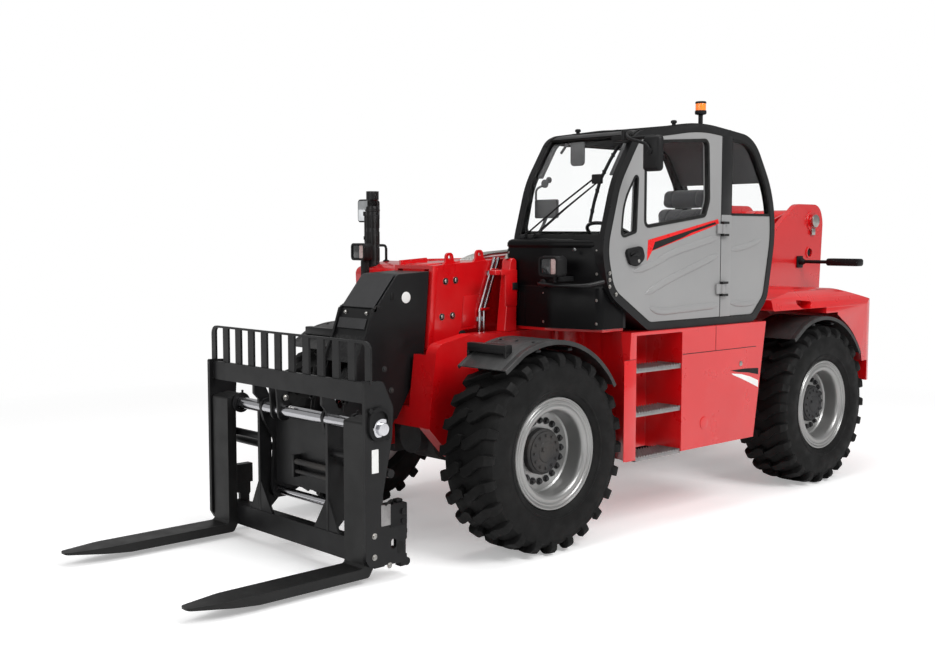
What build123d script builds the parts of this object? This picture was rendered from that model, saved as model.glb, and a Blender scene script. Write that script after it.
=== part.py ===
from build123d import *
from math import acos, asin, atan2, cos, degrees, hypot, pi, radians, sin, tan
import os

# A heavy telehandler: a rigid chassis on four steered wheels, a cab on the left, the engine on the
# right, and a two-section boom that is hinged in a tower at the tail and carries a fork carriage.
# Millimetres. +X points forward, +Y to the driver's left, +Z up. Lengths along X are given from the
# middle of the wheelbase, heights from the ground, and at the end everything is shifted so that the
# part's origin lies on the ground under the middle of its box.

# ---------------------------------------------------------------- driving dimensions
# wheels and steering
WHEELBASE = 3314.0
WHEEL_Y = 965.0             # middle plane of a wheel, from the machine's centre plane
KINGPIN_Y = 800.0           # steering axis, from the centre plane
TYRE_OD = 1348.0
TYRE_WIDTH = 470.0
BEAD_D = 635.0
RIM_FLANGE_D = 748.0
RIM_WIDTH = 400.0
DISC_OFFSET = 40.0          # how far the wheel's disc stands outside its middle plane
HUB_D = 310.0
SPINDLE_R = 65.0
KINGPIN_R = 32.0
FIT = 0.05                  # radial clearance of every pin in its bore
SIDE_GAP = 0.4              # clearance beside an eye or a wear pad
SWEEP_GAP = 22.0            # room left round a steered wheel

# chassis
RAIL_OUT = 450.0            # outer face of a chassis rail
RAIL_IN = 345.0
RAIL_TOP = 1420.0
RAIL_BOTTOM = 560.0
NOSE_X = 2130.0
TAIL_BLOCK_FRONT = -2405.0
TAIL_X = -2905.0
BODY_Y = 1200.0             # outer face of the side boxes
BOX_TOP = 1430.0
BOX_BOTTOM = 530.0

# boom
PIVOT_X = -2705.0
PIVOT_Z = 2237.0
PIVOT_R = 50.0
BOOM_SLOPE = 3.6            # degrees that the lowered boom falls towards its head
BOOM_HALF = 190.0
BOOM_WALL = 20.0
BOOM_TOP = -62.0            # across the boom, from its pivot
BOOM_HEIGHT = 478.0
BOOM_END = 4601.0           # along the boom, from its pivot
INNER_HALF = 148.0
INNER_HEIGHT = 384.0
INNER_WALL = 16.0

# carriage
TILT_X = 2600.0
TILT_Z = 500.0
TILT_R = 45.0
SHAFT_X = 2900.0
SHAFT_Z = 945.0
SHAFT_R = 40.0
CARRIAGE_HALF = 895.0
SIDE_PLATE = 28.0
FORK_WIDTH = 196.0
FORK_THICK = 68.0
FORK_AHEAD = 106.0          # face of a fork, ahead of its shaft
FORK_LENGTH = 1155.0
FORK_BOTTOM = 40.0

# cab
CAB_IN = 312.0
CAB_OUT = 1165.0
CAB_BASE = BOX_TOP
CAB_FRAME = 55.0
DOOR_REAR_X = -150.0
DOOR_GAP = 6.0
DOOR_THICK = 50.0
MIRROR_REACH = 1520.0

# how far the moving pieces go
STEER_DEG = 26.0
LIFT_DEG = 65.0
EXTEND = 2900.0
TILT_BACK_DEG = 12.0
TILT_FORWARD_DEG = 65.0
FORK_IN = 240.0
DOOR_DEG = 95.0
HOOD_DEG = 55.0

AXLE_X = WHEELBASE / 2
WHEEL_R = TYRE_OD / 2
SWEEP_R = hypot(WHEEL_R, WHEEL_Y + 0.43 * TYRE_WIDTH - KINGPIN_Y) + SWEEP_GAP
FORK_FACE_X = SHAFT_X + FORK_AHEAD
FORK_TIP_X = FORK_FACE_X + FORK_LENGTH
FORK_Y = CARRIAGE_HALF - SIDE_PLATE - 9 - FORK_WIDTH / 2
ORIGIN_X = (TAIL_X + FORK_TIP_X) / 2
CORNERS = (("fl", 1, 1), ("fr", 1, -1), ("rl", -1, 1), ("rr", -1, -1))    # name, sign of x, sign of y


# ---------------------------------------------------------------- shape helpers
def block(x0, x1, y0, y1, z0, z1):
    """A box between two corners."""
    size = (abs(x1 - x0), abs(y1 - y0), abs(z1 - z0))
    return Pos((x0 + x1) / 2, (y0 + y1) / 2, (z0 + z1) / 2) * Box(*size)


def rod_x(y, z, r, x0, x1):
    return Pos((x0 + x1) / 2, y, z) * Rot(0, 90, 0) * Cylinder(r, abs(x1 - x0))


def rod_y(x, z, r, y0, y1):
    return Pos(x, (y0 + y1) / 2, z) * Rot(90, 0, 0) * Cylinder(r, abs(y1 - y0))


def rod_z(x, y, r, z0, z1):
    return Pos(x, y, (z0 + z1) / 2) * Cylinder(r, abs(z1 - z0))


def outline(points):
    """A closed face from (x, y, corner radius) rows: straight sides joined by tangent arcs."""
    n = len(points)
    starts, ends, mids = [], [], []
    for i, (px, py, r) in enumerate(points):
        ax, ay = points[i - 1][:2]
        bx, by = points[(i + 1) % n][:2]
        la, lb = hypot(ax - px, ay - py), hypot(bx - px, by - py)
        ua = ((ax - px) / la, (ay - py) / la)
        ub = ((bx - px) / lb, (by - py) / lb)
        half = acos(max(-1, min(1, ua[0] * ub[0] + ua[1] * ub[1]))) / 2
        reach = r / (sin(half) / cos(half))
        starts.append((px + ua[0] * reach, py + ua[1] * reach))
        ends.append((px + ub[0] * reach, py + ub[1] * reach))
        mx, my = ua[0] + ub[0], ua[1] + ub[1]
        lm = hypot(mx, my)
        to_mid = r / sin(half) - r
        mids.append((px + mx / lm * to_mid, py + my / lm * to_mid) if r else None)
    edges = []
    for i in range(n):
        if mids[i]:
            edges.append(ThreePointArc(starts[i], mids[i], ends[i]))
        follow = starts[(i + 1) % n]
        if hypot(follow[0] - ends[i][0], follow[1] - ends[i][1]) > 0.01:
            edges.append(Line(ends[i], follow))
    return make_face(edges)


def plate(points, y0, y1):
    """An outline of (x, z, radius) rows in the XZ plane, as thick as y0 to y1."""
    rows = [(p + (0,))[:3] for p in points]
    plane = Plane(origin=(0, y0, 0), x_dir=(1, 0, 0), z_dir=(0, -1, 0))
    return extrude(plane * outline(rows), amount=-(y1 - y0))


def slab(points, z0, z1):
    """An outline of (x, y, radius) rows in the XY plane, as high as z0 to z1."""
    rows = [(p + (0,))[:3] for p in points]
    return Pos(0, 0, z0) * extrude(outline(rows), amount=z1 - z0)


def panel_x(points, x0, x1):
    """An outline of (y, z, radius) rows in the YZ plane, as thick as x0 to x1."""
    rows = [(p + (0,))[:3] for p in points]
    plane = Plane(origin=(x0, 0, 0), x_dir=(0, 1, 0), z_dir=(1, 0, 0))
    return extrude(plane * outline(rows), amount=x1 - x0)


def both_sides(shape):
    """A shape and its mirror image across the centre plane."""
    return shape + mirror(shape, about=Plane.XZ)


def in_boom(shape):
    """Puts a shape, made level with the pivot at (0, 0), onto the sloping boom."""
    return Pos(PIVOT_X, 0, PIVOT_Z) * Rot(0, BOOM_SLOPE, 0) * shape


# ---------------------------------------------------------------- running gear
LUG_COUNT = 12              # lugs on each side of the tread's middle
LUG_DEPTH = 40.0
LUG_REACH = 120.0           # how far a lug's corner lies ahead of the lug's middle


def tyre_body():
    """A closed tyre about the origin, out to the lugs' tips: flat stretches of tread, shoulder and
    wall, two to each pair of lugs, and a slanting lug on alternate sides of the tread."""
    half, facets = TYRE_WIDTH / 2, 2 * LUG_COUNT
    bead, lip, foot = BEAD_D / 2 + 0.5, RIM_FLANGE_D / 2 + 2, RIM_WIDTH / 2 - 22
    base = WHEEL_R - LUG_DEPTH
    wall = [(foot, bead), (foot + 3, lip), (half, 0.72 * WHEEL_R), (0.93 * half, base - 49),
            (0.7 * half, base - 4)]
    section = wall + [(-y, z) for y, z in reversed(wall)]
    reach = WHEEL_R * tan(pi / facets)
    stretch = panel_x(section, -reach, reach) & plate(
        [(0, 0), (reach, WHEEL_R), (-reach, WHEEL_R)], -half - 5, half + 5)
    lugs = (tread_lug(half), mirror(tread_lug(half), about=Plane.XZ))
    # turned so that a lug's tip touches the ground
    start = degrees(asin(LUG_REACH / WHEEL_R))
    turns = [360.0 * i / facets for i in range(facets)]
    pieces = [Rot(0, turn, 0) * stretch for turn in turns]
    pieces += [Rot(0, turn - start, 0) * lugs[i % 2] for i, turn in enumerate(turns)]
    return pieces[0] + pieces[1:]


def tread_lug(half):
    """One slanting lug with flat faces, for the top of the tyre, outside the tread's middle."""
    top, foot = (WHEEL_R ** 2 - LUG_REACH ** 2) ** 0.5, WHEEL_R - LUG_DEPTH - 74
    plan = [(-85, -0.06 * half), (45, -0.06 * half), (LUG_REACH, 0.5 * half), (95, 0.93 * half),
            (-35, 0.93 * half), (-10, 0.5 * half)]
    section = [(-0.1 * half, foot), (-0.1 * half, top), (0.5 * half, top), (0.94 * half, top - 48),
               (0.94 * half, foot)]
    return slab(plan, foot, top + 5) & panel_x(section, -130, 130)


def wheel_ring(rows, x, y):
    """Rows of (offset along Y, radius) turned about the wheel's own axis."""
    face = make_face(Polyline([(r, a) for a, r in rows], close=True))
    ring = revolve(face, Axis.Y)
    return Pos(x, y, WHEEL_R) * ring


def rim(x, side):
    """Rim barrel with both flanges, the deep disc and the hub round the spindle."""
    y, half = side * WHEEL_Y, RIM_WIDTH / 2
    bead, flange = BEAD_D / 2, RIM_FLANGE_D / 2
    disc = side * DISC_OFFSET
    barrel_rows = [
        (-half, bead - 30), (-half, flange), (-half + 14, flange), (-half + 18, bead),
        (half - 18, bead), (half - 14, flange), (half, flange), (half, bead - 30),
        (half - 40, bead - 42), (-half + 40, bead - 42),
    ]
    hub_in, hub_out = disc - side * 60, disc + side * 75
    body = wheel_ring(barrel_rows, x, y)
    body += rod_y(x, WHEEL_R, bead - 36, y + disc - 12, y + disc + 12)
    body += rod_y(x, WHEEL_R, HUB_D / 2, y + hub_in, y + hub_out)
    return body - rod_y(x, WHEEL_R, SPINDLE_R + FIT, y + hub_in - side, y + disc + side * 30)


def knuckle(x, side):
    """Steering knuckle: kingpin, boss and wheel spindle, with the arm that carries the fender."""
    y_pin, disc_y = side * KINGPIN_Y, side * (WHEEL_Y + DISC_OFFSET)
    body = rod_z(x, y_pin, KINGPIN_R, WHEEL_R - 215, WHEEL_R + 225)
    body += rod_z(x, y_pin, 78, WHEEL_R - 150, WHEEL_R + 150)
    body += rod_y(x, WHEEL_R, SPINDLE_R, y_pin, disc_y + side * 29)
    body += rod_y(x, WHEEL_R, 120, y_pin + side * 60, disc_y - side * 61)
    arm_in, arm_out = side * (WHEEL_Y - TYRE_WIDTH / 2 - 43), side * (WHEEL_Y - TYRE_WIDTH / 2 - 21)
    body += block(x - 36, x + 36, arm_in, side * (KINGPIN_Y + 30), WHEEL_R + 213, WHEEL_R + 240)
    body += block(x - 45, x + 45, arm_in, arm_out, WHEEL_R + 213, FENDER_TOP - 40)
    return body


FENDER_TOP = 1425.0
FENDER_THICK = 14.0
FENDER_SHIFT_X = 30.0
FENDER_HALF = 224.0


def fender(front, side):
    """Curved mudguard over a wheel: an arc band from its rear tip to a flat flap in front."""
    x0 = front * AXLE_X
    cx, r_out = x0 + FENDER_SHIFT_X, FENDER_TOP - WHEEL_R - 22.0
    cz = FENDER_TOP - r_out
    r_in = r_out - FENDER_THICK
    # angles of the rear tip and of the flap's root, from straight ahead
    tip, root = radians(148), radians(66)
    mid = (tip + root) / 2

    def at(angle, r):
        return cx + r * cos(angle), cz + r * sin(angle)

    flap_x, flap_z = cx + 455.0, FENDER_TOP - 165.0
    outer = [ThreePointArc(at(tip, r_out), at(mid, r_out), at(root, r_out)),
             Line(at(root, r_out), (flap_x, flap_z)),
             Line((flap_x, flap_z), (flap_x - 5, flap_z - FENDER_THICK)),
             Line((flap_x - 5, flap_z - FENDER_THICK), at(root, r_in)),
             ThreePointArc(at(root, r_in), at(mid, r_in), at(tip, r_in)),
             Line(at(tip, r_in), at(tip, r_out))]
    y_in, y_out = side * (WHEEL_Y - FENDER_HALF), side * (WHEEL_Y + FENDER_HALF)
    y0, y1 = min(y_in, y_out), max(y_in, y_out)
    plane = Plane(origin=(0, y0, 0), x_dir=(1, 0, 0), z_dir=(0, -1, 0))
    band = extrude(plane * make_face(outer), amount=-(y1 - y0))
    arm_in = side * (WHEEL_Y - TYRE_WIDTH / 2 - 43)
    bracket = block(x0 - 45, x0 + 45, arm_in, side * (WHEEL_Y - FENDER_HALF + 60),
                    FENDER_TOP - 40, FENDER_TOP - 4)
    return band + bracket


def axle(front):
    """Axle housing between the kingpins, with its differential and the yoke ends."""
    x = front * AXLE_X
    body = rod_y(x, WHEEL_R, 110, -690, 690)
    body += rod_y(x, WHEEL_R, 190, -150, 150)
    body += rod_x(0, WHEEL_R, 120, x - 260, x + 260)
    ear_in = KINGPIN_Y - 115
    for side in (1, -1):
        body += block(x - 75, x + 75, side * ear_in, side * (ear_in - 30), WHEEL_R - 205, WHEEL_R + 205)
        for low, high in ((-205, -151), (151, 205)):
            ear = block(x - 75, x + 75, side * ear_in, side * KINGPIN_Y, WHEEL_R + low, WHEEL_R + high)
            ear += rod_z(x, side * KINGPIN_Y, 75, WHEEL_R + low, WHEEL_R + high)
            body += ear
        body -= rod_z(x, side * KINGPIN_Y, KINGPIN_R + FIT, WHEEL_R - 230, WHEEL_R + 230)
    # saddles that hold the housing under the rails
    for side in (1, -1):
        body += block(x - 120, x + 120, side * RAIL_IN, side * RAIL_OUT, RAIL_BOTTOM - 60, RAIL_BOTTOM)
        body += block(x - 120, x + 120, side * RAIL_IN, side * RAIL_OUT, RAIL_BOTTOM - 60, WHEEL_R)
    return body


def wheel_sweeps(z0, z1):
    """The upright drums that the steered wheels need, to be cut from the bodywork."""
    drums = None
    for _, front, side in CORNERS:
        drum = rod_z(front * AXLE_X, side * KINGPIN_Y, SWEEP_R, z0, z1)
        drums = drum if drums is None else drums + drum
    return drums


def wheel_domes():
    """The room over the rear wheels: what a steered tyre and its fender sweep, as a dome."""
    edge, top = SWEEP_R + 12, FENDER_TOP + 22
    rows = [(0, 700), (edge, 700), (edge - 36, 900), (edge - 72, top - 362), (edge - 121, top - 282),
            (edge - 190, top - 193), (edge - 263, top - 120), (edge - 330, top - 66), (edge - 375, top - 22),
            (edge - 375, top), (0, top)]
    dome = revolve(Plane.XZ * make_face(Polyline(rows, close=True)), Axis.Z)
    return both_sides(Pos(-AXLE_X, KINGPIN_Y, 0) * dome)


# ---------------------------------------------------------------- chassis
LIFT_Y = 112.0              # middle of each lift cylinder
EYE_HALF = 52.0             # half the width of a cylinder eye
LUG = 22.0                  # thickness of a cylinder lug
LIFT_X = -2200.0            # where the lift cylinders are pinned to the chassis
LIFT_Z = 930.0
LIFT_PIN_R = 35.0
LIFT_EYE_X = 68.0           # where they are pinned to the boom
LIFT_EYE_Z = 1389.0


def chassis_frame():
    """Two box rails with cross members, the nose plate and the lift cylinders' pins."""
    rail = [(TAIL_BLOCK_FRONT, 820, 0), (-2150, RAIL_BOTTOM, 60), (1900, RAIL_BOTTOM, 120),
            (NOSE_X, 800, 40), (NOSE_X - 70, RAIL_TOP - 60, 90), (1750, RAIL_TOP, 200),
            (TAIL_BLOCK_FRONT, RAIL_TOP, 0)]
    one = plate(rail, RAIL_IN, RAIL_OUT)
    # room for the axle housings and their saddles
    for front in (1, -1):
        one -= block(front * AXLE_X - 120, front * AXLE_X + 120, RAIL_IN - 5, RAIL_OUT + 5,
                     RAIL_BOTTOM - 5, WHEEL_R + 130)
    body = both_sides(one)
    for front in (1, -1):
        x = front * AXLE_X
        body += both_sides(block(x - 120, x + 120, RAIL_IN, RAIL_OUT, WHEEL_R + 110, WHEEL_R + 131))
    # nose plate between the rails, with a notch that the lowered boom's head comes down into
    nose = [(NOSE_X - 40, 800, 0), (NOSE_X, 800, 0), (NOSE_X - 62, 1290, 0), (NOSE_X - 102, 1290, 0)]
    body += plate(nose, -RAIL_IN, RAIL_IN)
    body -= block(NOSE_X - 200, NOSE_X + 5, -HEAD_OUT - 45, HEAD_OUT + 45, 930, 1300)
    # rows: x from, x to, z from, z to of each cross member between the rails
    for x0, x1, z0, z1 in ((1050, 1200, 600, 900), (-900, -750, 600, 900), (-2400, -2330, 700, 1300),
                           (100, 180, 600, 800)):
        body += block(x0, x1, -RAIL_IN, RAIL_IN, z0, z1)
    for side in (1, -1):
        mid = side * LIFT_Y
        for edge in (mid - EYE_HALF - SIDE_GAP - LUG, mid + EYE_HALF + SIDE_GAP):
            lug = [(-2335, LIFT_Z - 120, 0), (-2335, LIFT_Z + 120, 0), (LIFT_X + 10, LIFT_Z + 70, 60),
                   (LIFT_X + 75, LIFT_Z, 50), (LIFT_X + 10, LIFT_Z - 70, 60)]
            body += plate(lug, edge, edge + LUG)
        body += rod_y(LIFT_X, LIFT_Z, LIFT_PIN_R, mid - EYE_HALF - LUG - 8, mid + EYE_HALF + LUG + 8)
    return body


def boom_tower():
    """The two tower plates at the tail with the boom's pivot pin and its outer bosses."""
    side_plate = [(TAIL_X + 40, TAIL_BLOCK_TOP, 0), (TAIL_X, PIVOT_Z, 220),
                  (TAIL_X + 60, 2392, 140), (-2440, 2392, 160), (-2040, 2125, 300),
                  (-1350, RAIL_TOP + 180, 200), (-1100, RAIL_TOP, 0),
                  (TAIL_BLOCK_FRONT, RAIL_TOP, 0), (TAIL_BLOCK_FRONT, TAIL_BLOCK_TOP, 0)]
    one = plate(side_plate, RAIL_IN, TOWER_OUT)
    one += rod_y(PIVOT_X, PIVOT_Z, 95, RAIL_IN, TOWER_OUT + 12)
    one += rod_y(PIVOT_X, PIVOT_Z, PIVOT_R, RAIL_IN, TOWER_OUT + 40)
    body = both_sides(one) + rod_y(PIVOT_X, PIVOT_Z, PIVOT_R, -RAIL_IN, RAIL_IN)
    return body - both_sides(rod_y(-2668, 1940, 40, RAIL_IN - 5, TOWER_OUT + 5))


TOWER_OUT = 400.0
TAIL_BLOCK_TOP = 1600.0
TAIL_HALF = 1160.0


def counterweight():
    """Cast tail weight, rounded in plan and at its edges, with the housings over the rear wheels."""
    tail, corner, join = TAIL_X + 40, TAIL_X + 420, RAIL_OUT + 2
    plan = [(COVER_FRONT, -TAIL_HALF, 0), (COVER_FRONT, TAIL_HALF, 0), (corner, TAIL_HALF, 240),
            (tail, 640, 420), (tail, -640, 420), (corner, -TAIL_HALF, 240)]
    section = [(-TAIL_HALF, TAIL_BLOCK_BOTTOM, 0), (-TAIL_HALF, COVER_TOP, 170),
               (TAIL_HALF, COVER_TOP, 170), (TAIL_HALF, TAIL_BLOCK_BOTTOM, 0)]
    hull = slab(plan, TAIL_BLOCK_BOTTOM, COVER_TOP) & panel_x(section, tail - 5, COVER_FRONT + 5)
    top = [(COVER_FRONT, COVER_BOTTOM, 30), (COVER_FRONT - 20, COVER_TOP - 70, 30),
           (COVER_FRONT - 490, COVER_TOP - 5, 900), (TAIL_BLOCK_FRONT + 450, COVER_TOP - 10, 700),
           (TAIL_BLOCK_FRONT - 155, COVER_TOP - 140, 400), (tail, TAIL_BLOCK_TOP - 450, 300)]
    side = top + [(tail, TAIL_BLOCK_BOTTOM, 0), (TAIL_BLOCK_FRONT, TAIL_BLOCK_BOTTOM, 0),
                  (TAIL_BLOCK_FRONT, 1000, 0), (-AXLE_X - 43, 1000, 0), (-AXLE_X - 43, COVER_BOTTOM, 0)]
    body = plate(side, join, TAIL_HALF)
    bridge = top[:3] + [(TAIL_BLOCK_FRONT - 5, COVER_TOP - 60, 0), (TAIL_BLOCK_FRONT - 5, COVER_BOTTOM, 0)]
    body = both_sides(body + plate(bridge, TOWER_OUT, join)) & hull
    body += block(tail, TAIL_BLOCK_FRONT, -join, join, TAIL_BLOCK_BOTTOM, TAIL_BLOCK_TOP)
    # scooped air slot high on each side
    slot = [(-1493, 1555, 20), (-1168, 1578, 20), (-1322, 1500, 30), (-1437, 1495, 30)]
    body -= both_sides(plate(slot, TAIL_HALF - 110, TAIL_HALF + 5))
    body -= block(tail - 5, tail + TOW_DEPTH, -TOW_HALF, TOW_HALF, TOW_Z0, TOW_Z1)
    body -= rod_z(tail + TOW_DEPTH / 2, 0, TOW_BORE_R, TAIL_BLOCK_BOTTOM - 5, TOW_Z1 + 80)
    return body - wheel_domes()


# the towing pocket in the tail, with the drop-in pin's hole
TAIL_BLOCK_BOTTOM = 820.0
TOW_DEPTH = 130.0
TOW_HALF = 90.0
TOW_Z0 = 900.0
TOW_Z1 = 1060.0
TOW_BORE_R = 20.0
COVER_FRONT = -880.0
COVER_BOTTOM = 1496.0
COVER_TOP = 1660.0

# the boarding steps' recess in the left box
STEP_X0 = 350.0
STEP_X1 = 870.0
STEP_DEPTH = 330.0
STEP_RISE = (555.0, 870.0, 1180.0)     # top of each step


def left_side_box():
    """Red tank and battery box under the cab, with the recess for the steps."""
    side = [(-580, BOX_BOTTOM, 0), (1002, BOX_BOTTOM, 0), (930, BOX_TOP, 0), (-730, BOX_TOP, 0)]
    body = plate(side, RAIL_OUT, BODY_Y)
    body -= block(STEP_X0, STEP_X1, BODY_Y - STEP_DEPTH, BODY_Y + 5, BOX_BOTTOM - 5, BOX_TOP - 25)
    # a narrow deck that carries the cab's nose, above the fender
    deck = [(900, RAIL_IN + 20), (NOSE_FRONT - 10, RAIL_IN + 20), (NOSE_FRONT - 10, 700),
            (1120, 1100), (900, 1100)]
    body = body - wheel_sweeps(BOX_BOTTOM - 10, BOX_TOP)
    return body + slab(deck, BOX_TOP + 6, BOX_TOP + 28) + block(
        780, 930, RAIL_OUT, 1000, BOX_TOP - 5, BOX_TOP + 28)


def cab_steps():
    """Three steel treads across the recess."""
    treads = None
    for top in STEP_RISE:
        tread = block(STEP_X0, STEP_X1, BODY_Y - 210, BODY_Y - 8, top - 38, top)
        treads = tread if treads is None else treads + tread
    return treads


# engine side
HOOD_REAR = -860.0
HOOD_FRONT = 1140.0
HOOD_TOP = 1895.0
HOOD_WALL = 22.0
HOOD_OUT = 1170.0
HINGE_R = 9.0


def bay_front():
    """The fixed front end ahead of the hood, which carries the lamp, the stack and a mirror."""
    front = [(HOOD_FRONT + 6, BOX_TOP + 28, 0), (1480, BOX_TOP + 28, 60), (1500, HOOD_TOP - 60, 60),
             (1380, HOOD_TOP - 15, 80), (HOOD_FRONT + 6, HOOD_TOP, 0)]
    return plate(front, -HOOD_OUT, -RAIL_OUT)


def engine_bay():
    """Fuel tank box on the right with the wall behind the hood and the fixed front end."""
    side = [(-580, BOX_BOTTOM, 0), (1002, BOX_BOTTOM, 0), (930, BOX_TOP, 0), (-730, BOX_TOP, 0)]
    body = plate(side, -BODY_Y, -RAIL_OUT)
    body -= wheel_sweeps(BOX_BOTTOM - 10, BOX_TOP)
    body -= block(-500, 800, -RAIL_OUT - 40, -HOOD_OUT + 80, 800, BOX_TOP + 5)
    # deck, inner wall and front box
    body += block(-730, 1480, -RAIL_OUT, -RAIL_OUT - 30, BOX_TOP - 10, HOOD_TOP - 15)
    body += bay_front()
    body += block(780, HOOD_FRONT + 60, -1000, -RAIL_OUT, BOX_TOP + 6, BOX_TOP + 28)
    body += block(780, 930, -1000, -RAIL_OUT, BOX_TOP - 5, BOX_TOP + 28)
    for x in HOOD_HINGES:
        for end in (x - 60, x + 40):
            body += block(end, end + 20, -RAIL_OUT - 26, -RAIL_OUT, HOOD_TOP - 60, HOOD_TOP + 40)
        body += rod_x(HOOD_AXIS_Y, HOOD_AXIS_Z, HINGE_R, x - 60, x + 60)
    return body


HOOD_HINGES = (-600.0, 850.0)
HOOD_AXIS_Y = -RAIL_OUT - 13
HOOD_AXIS_Z = HOOD_TOP + 27


def engine_block():
    """The engine as one plain block in its bay, on two rubber-mounted feet."""
    body = block(-420, 700, -1020, -540, 860, 1560)
    return body + block(-300, -200, -1020, -540, 800, 860) + block(480, 580, -1020, -540, 800, 860)


def engine_hood():
    """Lift-up hood: top, outer side and both ends, open to the inside and below."""
    z0 = BOX_TOP + 34
    profile = [(-RAIL_OUT - 36, HOOD_TOP, 0), (-RAIL_OUT - 36, HOOD_TOP - HOOD_WALL, 0),
               (-HOOD_OUT + HOOD_WALL, HOOD_TOP - HOOD_WALL, 70), (-HOOD_OUT + HOOD_WALL, z0, 0),
               (-HOOD_OUT, z0, 0), (-HOOD_OUT, HOOD_TOP, 90)]
    body = panel_x(profile, HOOD_REAR, HOOD_FRONT)
    end = [(-RAIL_OUT - 36, HOOD_TOP, 0), (-RAIL_OUT - 36, z0 + 60, 0), (-RAIL_OUT - 96, z0, 0),
           (-HOOD_OUT, z0, 0), (-HOOD_OUT, HOOD_TOP, 90)]
    body += panel_x(end, HOOD_REAR, HOOD_REAR + HOOD_WALL)
    body += panel_x(end, HOOD_FRONT - HOOD_WALL, HOOD_FRONT)
    for x in HOOD_HINGES:
        leaf = rod_x(HOOD_AXIS_Y, HOOD_AXIS_Z, 17, x - 35, x + 35)
        leaf += block(x - 35, x + 35, HOOD_AXIS_Y - 60, HOOD_AXIS_Y, HOOD_AXIS_Z - 17, HOOD_AXIS_Z)
        leaf += block(x - 35, x + 35, HOOD_AXIS_Y - 60, HOOD_AXIS_Y - 24, HOOD_TOP - 1, HOOD_AXIS_Z)
        body += leaf - rod_x(HOOD_AXIS_Y, HOOD_AXIS_Z, HINGE_R + FIT, x - 40, x + 40)
    return body - hood_louvre_window()


LOUVRE_X = (-700.0, -150.0)
LOUVRE_Z = (1530.0, 1780.0)


def hood_louvre_window():
    return block(LOUVRE_X[0], LOUVRE_X[1], -HOOD_OUT - 5, -HOOD_OUT + HOOD_WALL + 5, *LOUVRE_Z)


def hood_grille():
    """Slatted air outlet in the hood's side."""
    (x0, x1), (z0, z1) = LOUVRE_X, LOUVRE_Z
    y0, y1 = -HOOD_OUT, -HOOD_OUT + HOOD_WALL
    body = block(x0, x1, y0, y1, z0, z1) - block(x0 + 18, x1 - 18, y0 - 1, y1 + 1, z0 + 18, z1 - 18)
    count = 9
    pitch = (z1 - z0 - 36) / count
    for i in range(count):
        mid = z0 + 18 + pitch * (i + 0.5)
        body += block(x0 + 17, x1 - 17, y0 + 4, y1 - 2, mid - pitch * 0.3, mid + pitch * 0.3)
    return body


# ---------------------------------------------------------------- cab
# side outline of the cab as (x, z, corner radius), clockwise from the floor's front corner
CAB_SIDE = (
    (700, CAB_BASE, 150), (1130, 1695, 250), (1212, 2010, 450), (1075, 2480, 700), (850, 2820, 180),
    (100, 2926, 1800), (-570, 2855, 330), (-870, 2400, 800), (-880, 2060, 800), (-790, 1600, 200),
    (-610, CAB_BASE, 130),
)
NOSE_FRONT = 1280.0
NOSE_TOP = 2065.0
WINDOW_LINE = 2255.0        # sill of the rear side window
DOOR_WINDOW = ((752, 2160, 40), (52, 2245, 40), (5, 2360, 150), (25, 2800, 45), (680, 2755, 60),
               (752, 2700, 60))
QUARTER_WINDOW = ((1010, 2085, 30), (850, 2125, 20), (830, 2560, 20), (985, 2330, 400))


def cab_face(inset=0.0):
    face = outline(CAB_SIDE)
    return offset(face, amount=-inset) if inset else face


def cab_slice(inset, y0, y1):
    """The cab's side outline, drawn in by inset, as thick as y0 to y1."""
    plane = Plane(origin=(0, y0, 0), x_dir=(1, 0, 0), z_dir=(0, -1, 0))
    return extrude(plane * cab_face(inset), amount=-(y1 - y0))


def cab_nose():
    """Closed black front below the windscreen, rounded in plan."""
    nose = [(900, CAB_IN, 0), (NOSE_FRONT, CAB_IN, 60), (NOSE_FRONT, 760, 200), (1175, 1120, 60),
            (900, 1120, 0)]
    return slab(nose, BOX_TOP + 28, NOSE_TOP) - cab_slice(CAB_FRAME, CAB_IN + 40, CAB_OUT + 5)


# openings of the cab's hoop: x from, x to, left in from each side, z from, z to
HOOP_WINDOWS = (
    (700, 1300, 45, NOSE_TOP + 35, 2800),  # windscreen
    (-1000, -650, 60, 2000, 2640),  # rear window
    (120, 640, 90, 2800, 3000),  # roof hatch
)
# window of the cab's right wall: x, z, corner radius
RIGHT_WINDOW = ((1095, 2120, 40), (-760, 2120, 60), (-700, 2500, 200), (-520, 2780, 120), (810, 2780, 120),
                (1015, 2440, 500))


def hoop_windows():
    """Blocks that fill the three openings of the hoop."""
    return [block(x0, x1, CAB_IN + side, CAB_OUT - side, z0, z1) for x0, x1, side, z0, z1 in HOOP_WINDOWS]


def cab_frame():
    """The hollow cab shell: hoop of roof, floor and ends, right wall, and the black nose."""
    body = cab_slice(0, CAB_IN, CAB_OUT) - cab_slice(CAB_FRAME, CAB_IN + 40, CAB_OUT + 5)
    for opening in hoop_windows():
        body -= opening
    body -= plate(RIGHT_WINDOW, CAB_IN - 5, CAB_IN + 45)
    body += cab_nose()
    # middle pillar behind the door
    body += block(DOOR_REAR_X - 110, DOOR_REAR_X - DOOR_GAP, CAB_OUT - 60, CAB_OUT, CAB_BASE + 20, 2890)
    return body


def cab_rear_quarter():
    """Fixed panel and side window opening behind the door."""
    skin = cab_slice(CAB_FRAME, CAB_OUT - 50, CAB_OUT - 6)
    skin &= block(-1200, DOOR_REAR_X - 110, CAB_OUT - 60, CAB_OUT, 1000, 3000)
    window = [(DOOR_REAR_X - 130, WINDOW_LINE, 0), (DOOR_REAR_X - 130, 2900, 0), (-1200, 2900, 0),
              (-1200, WINDOW_LINE, 0)]
    return skin - plate(window, CAB_OUT - 60, CAB_OUT)


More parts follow.
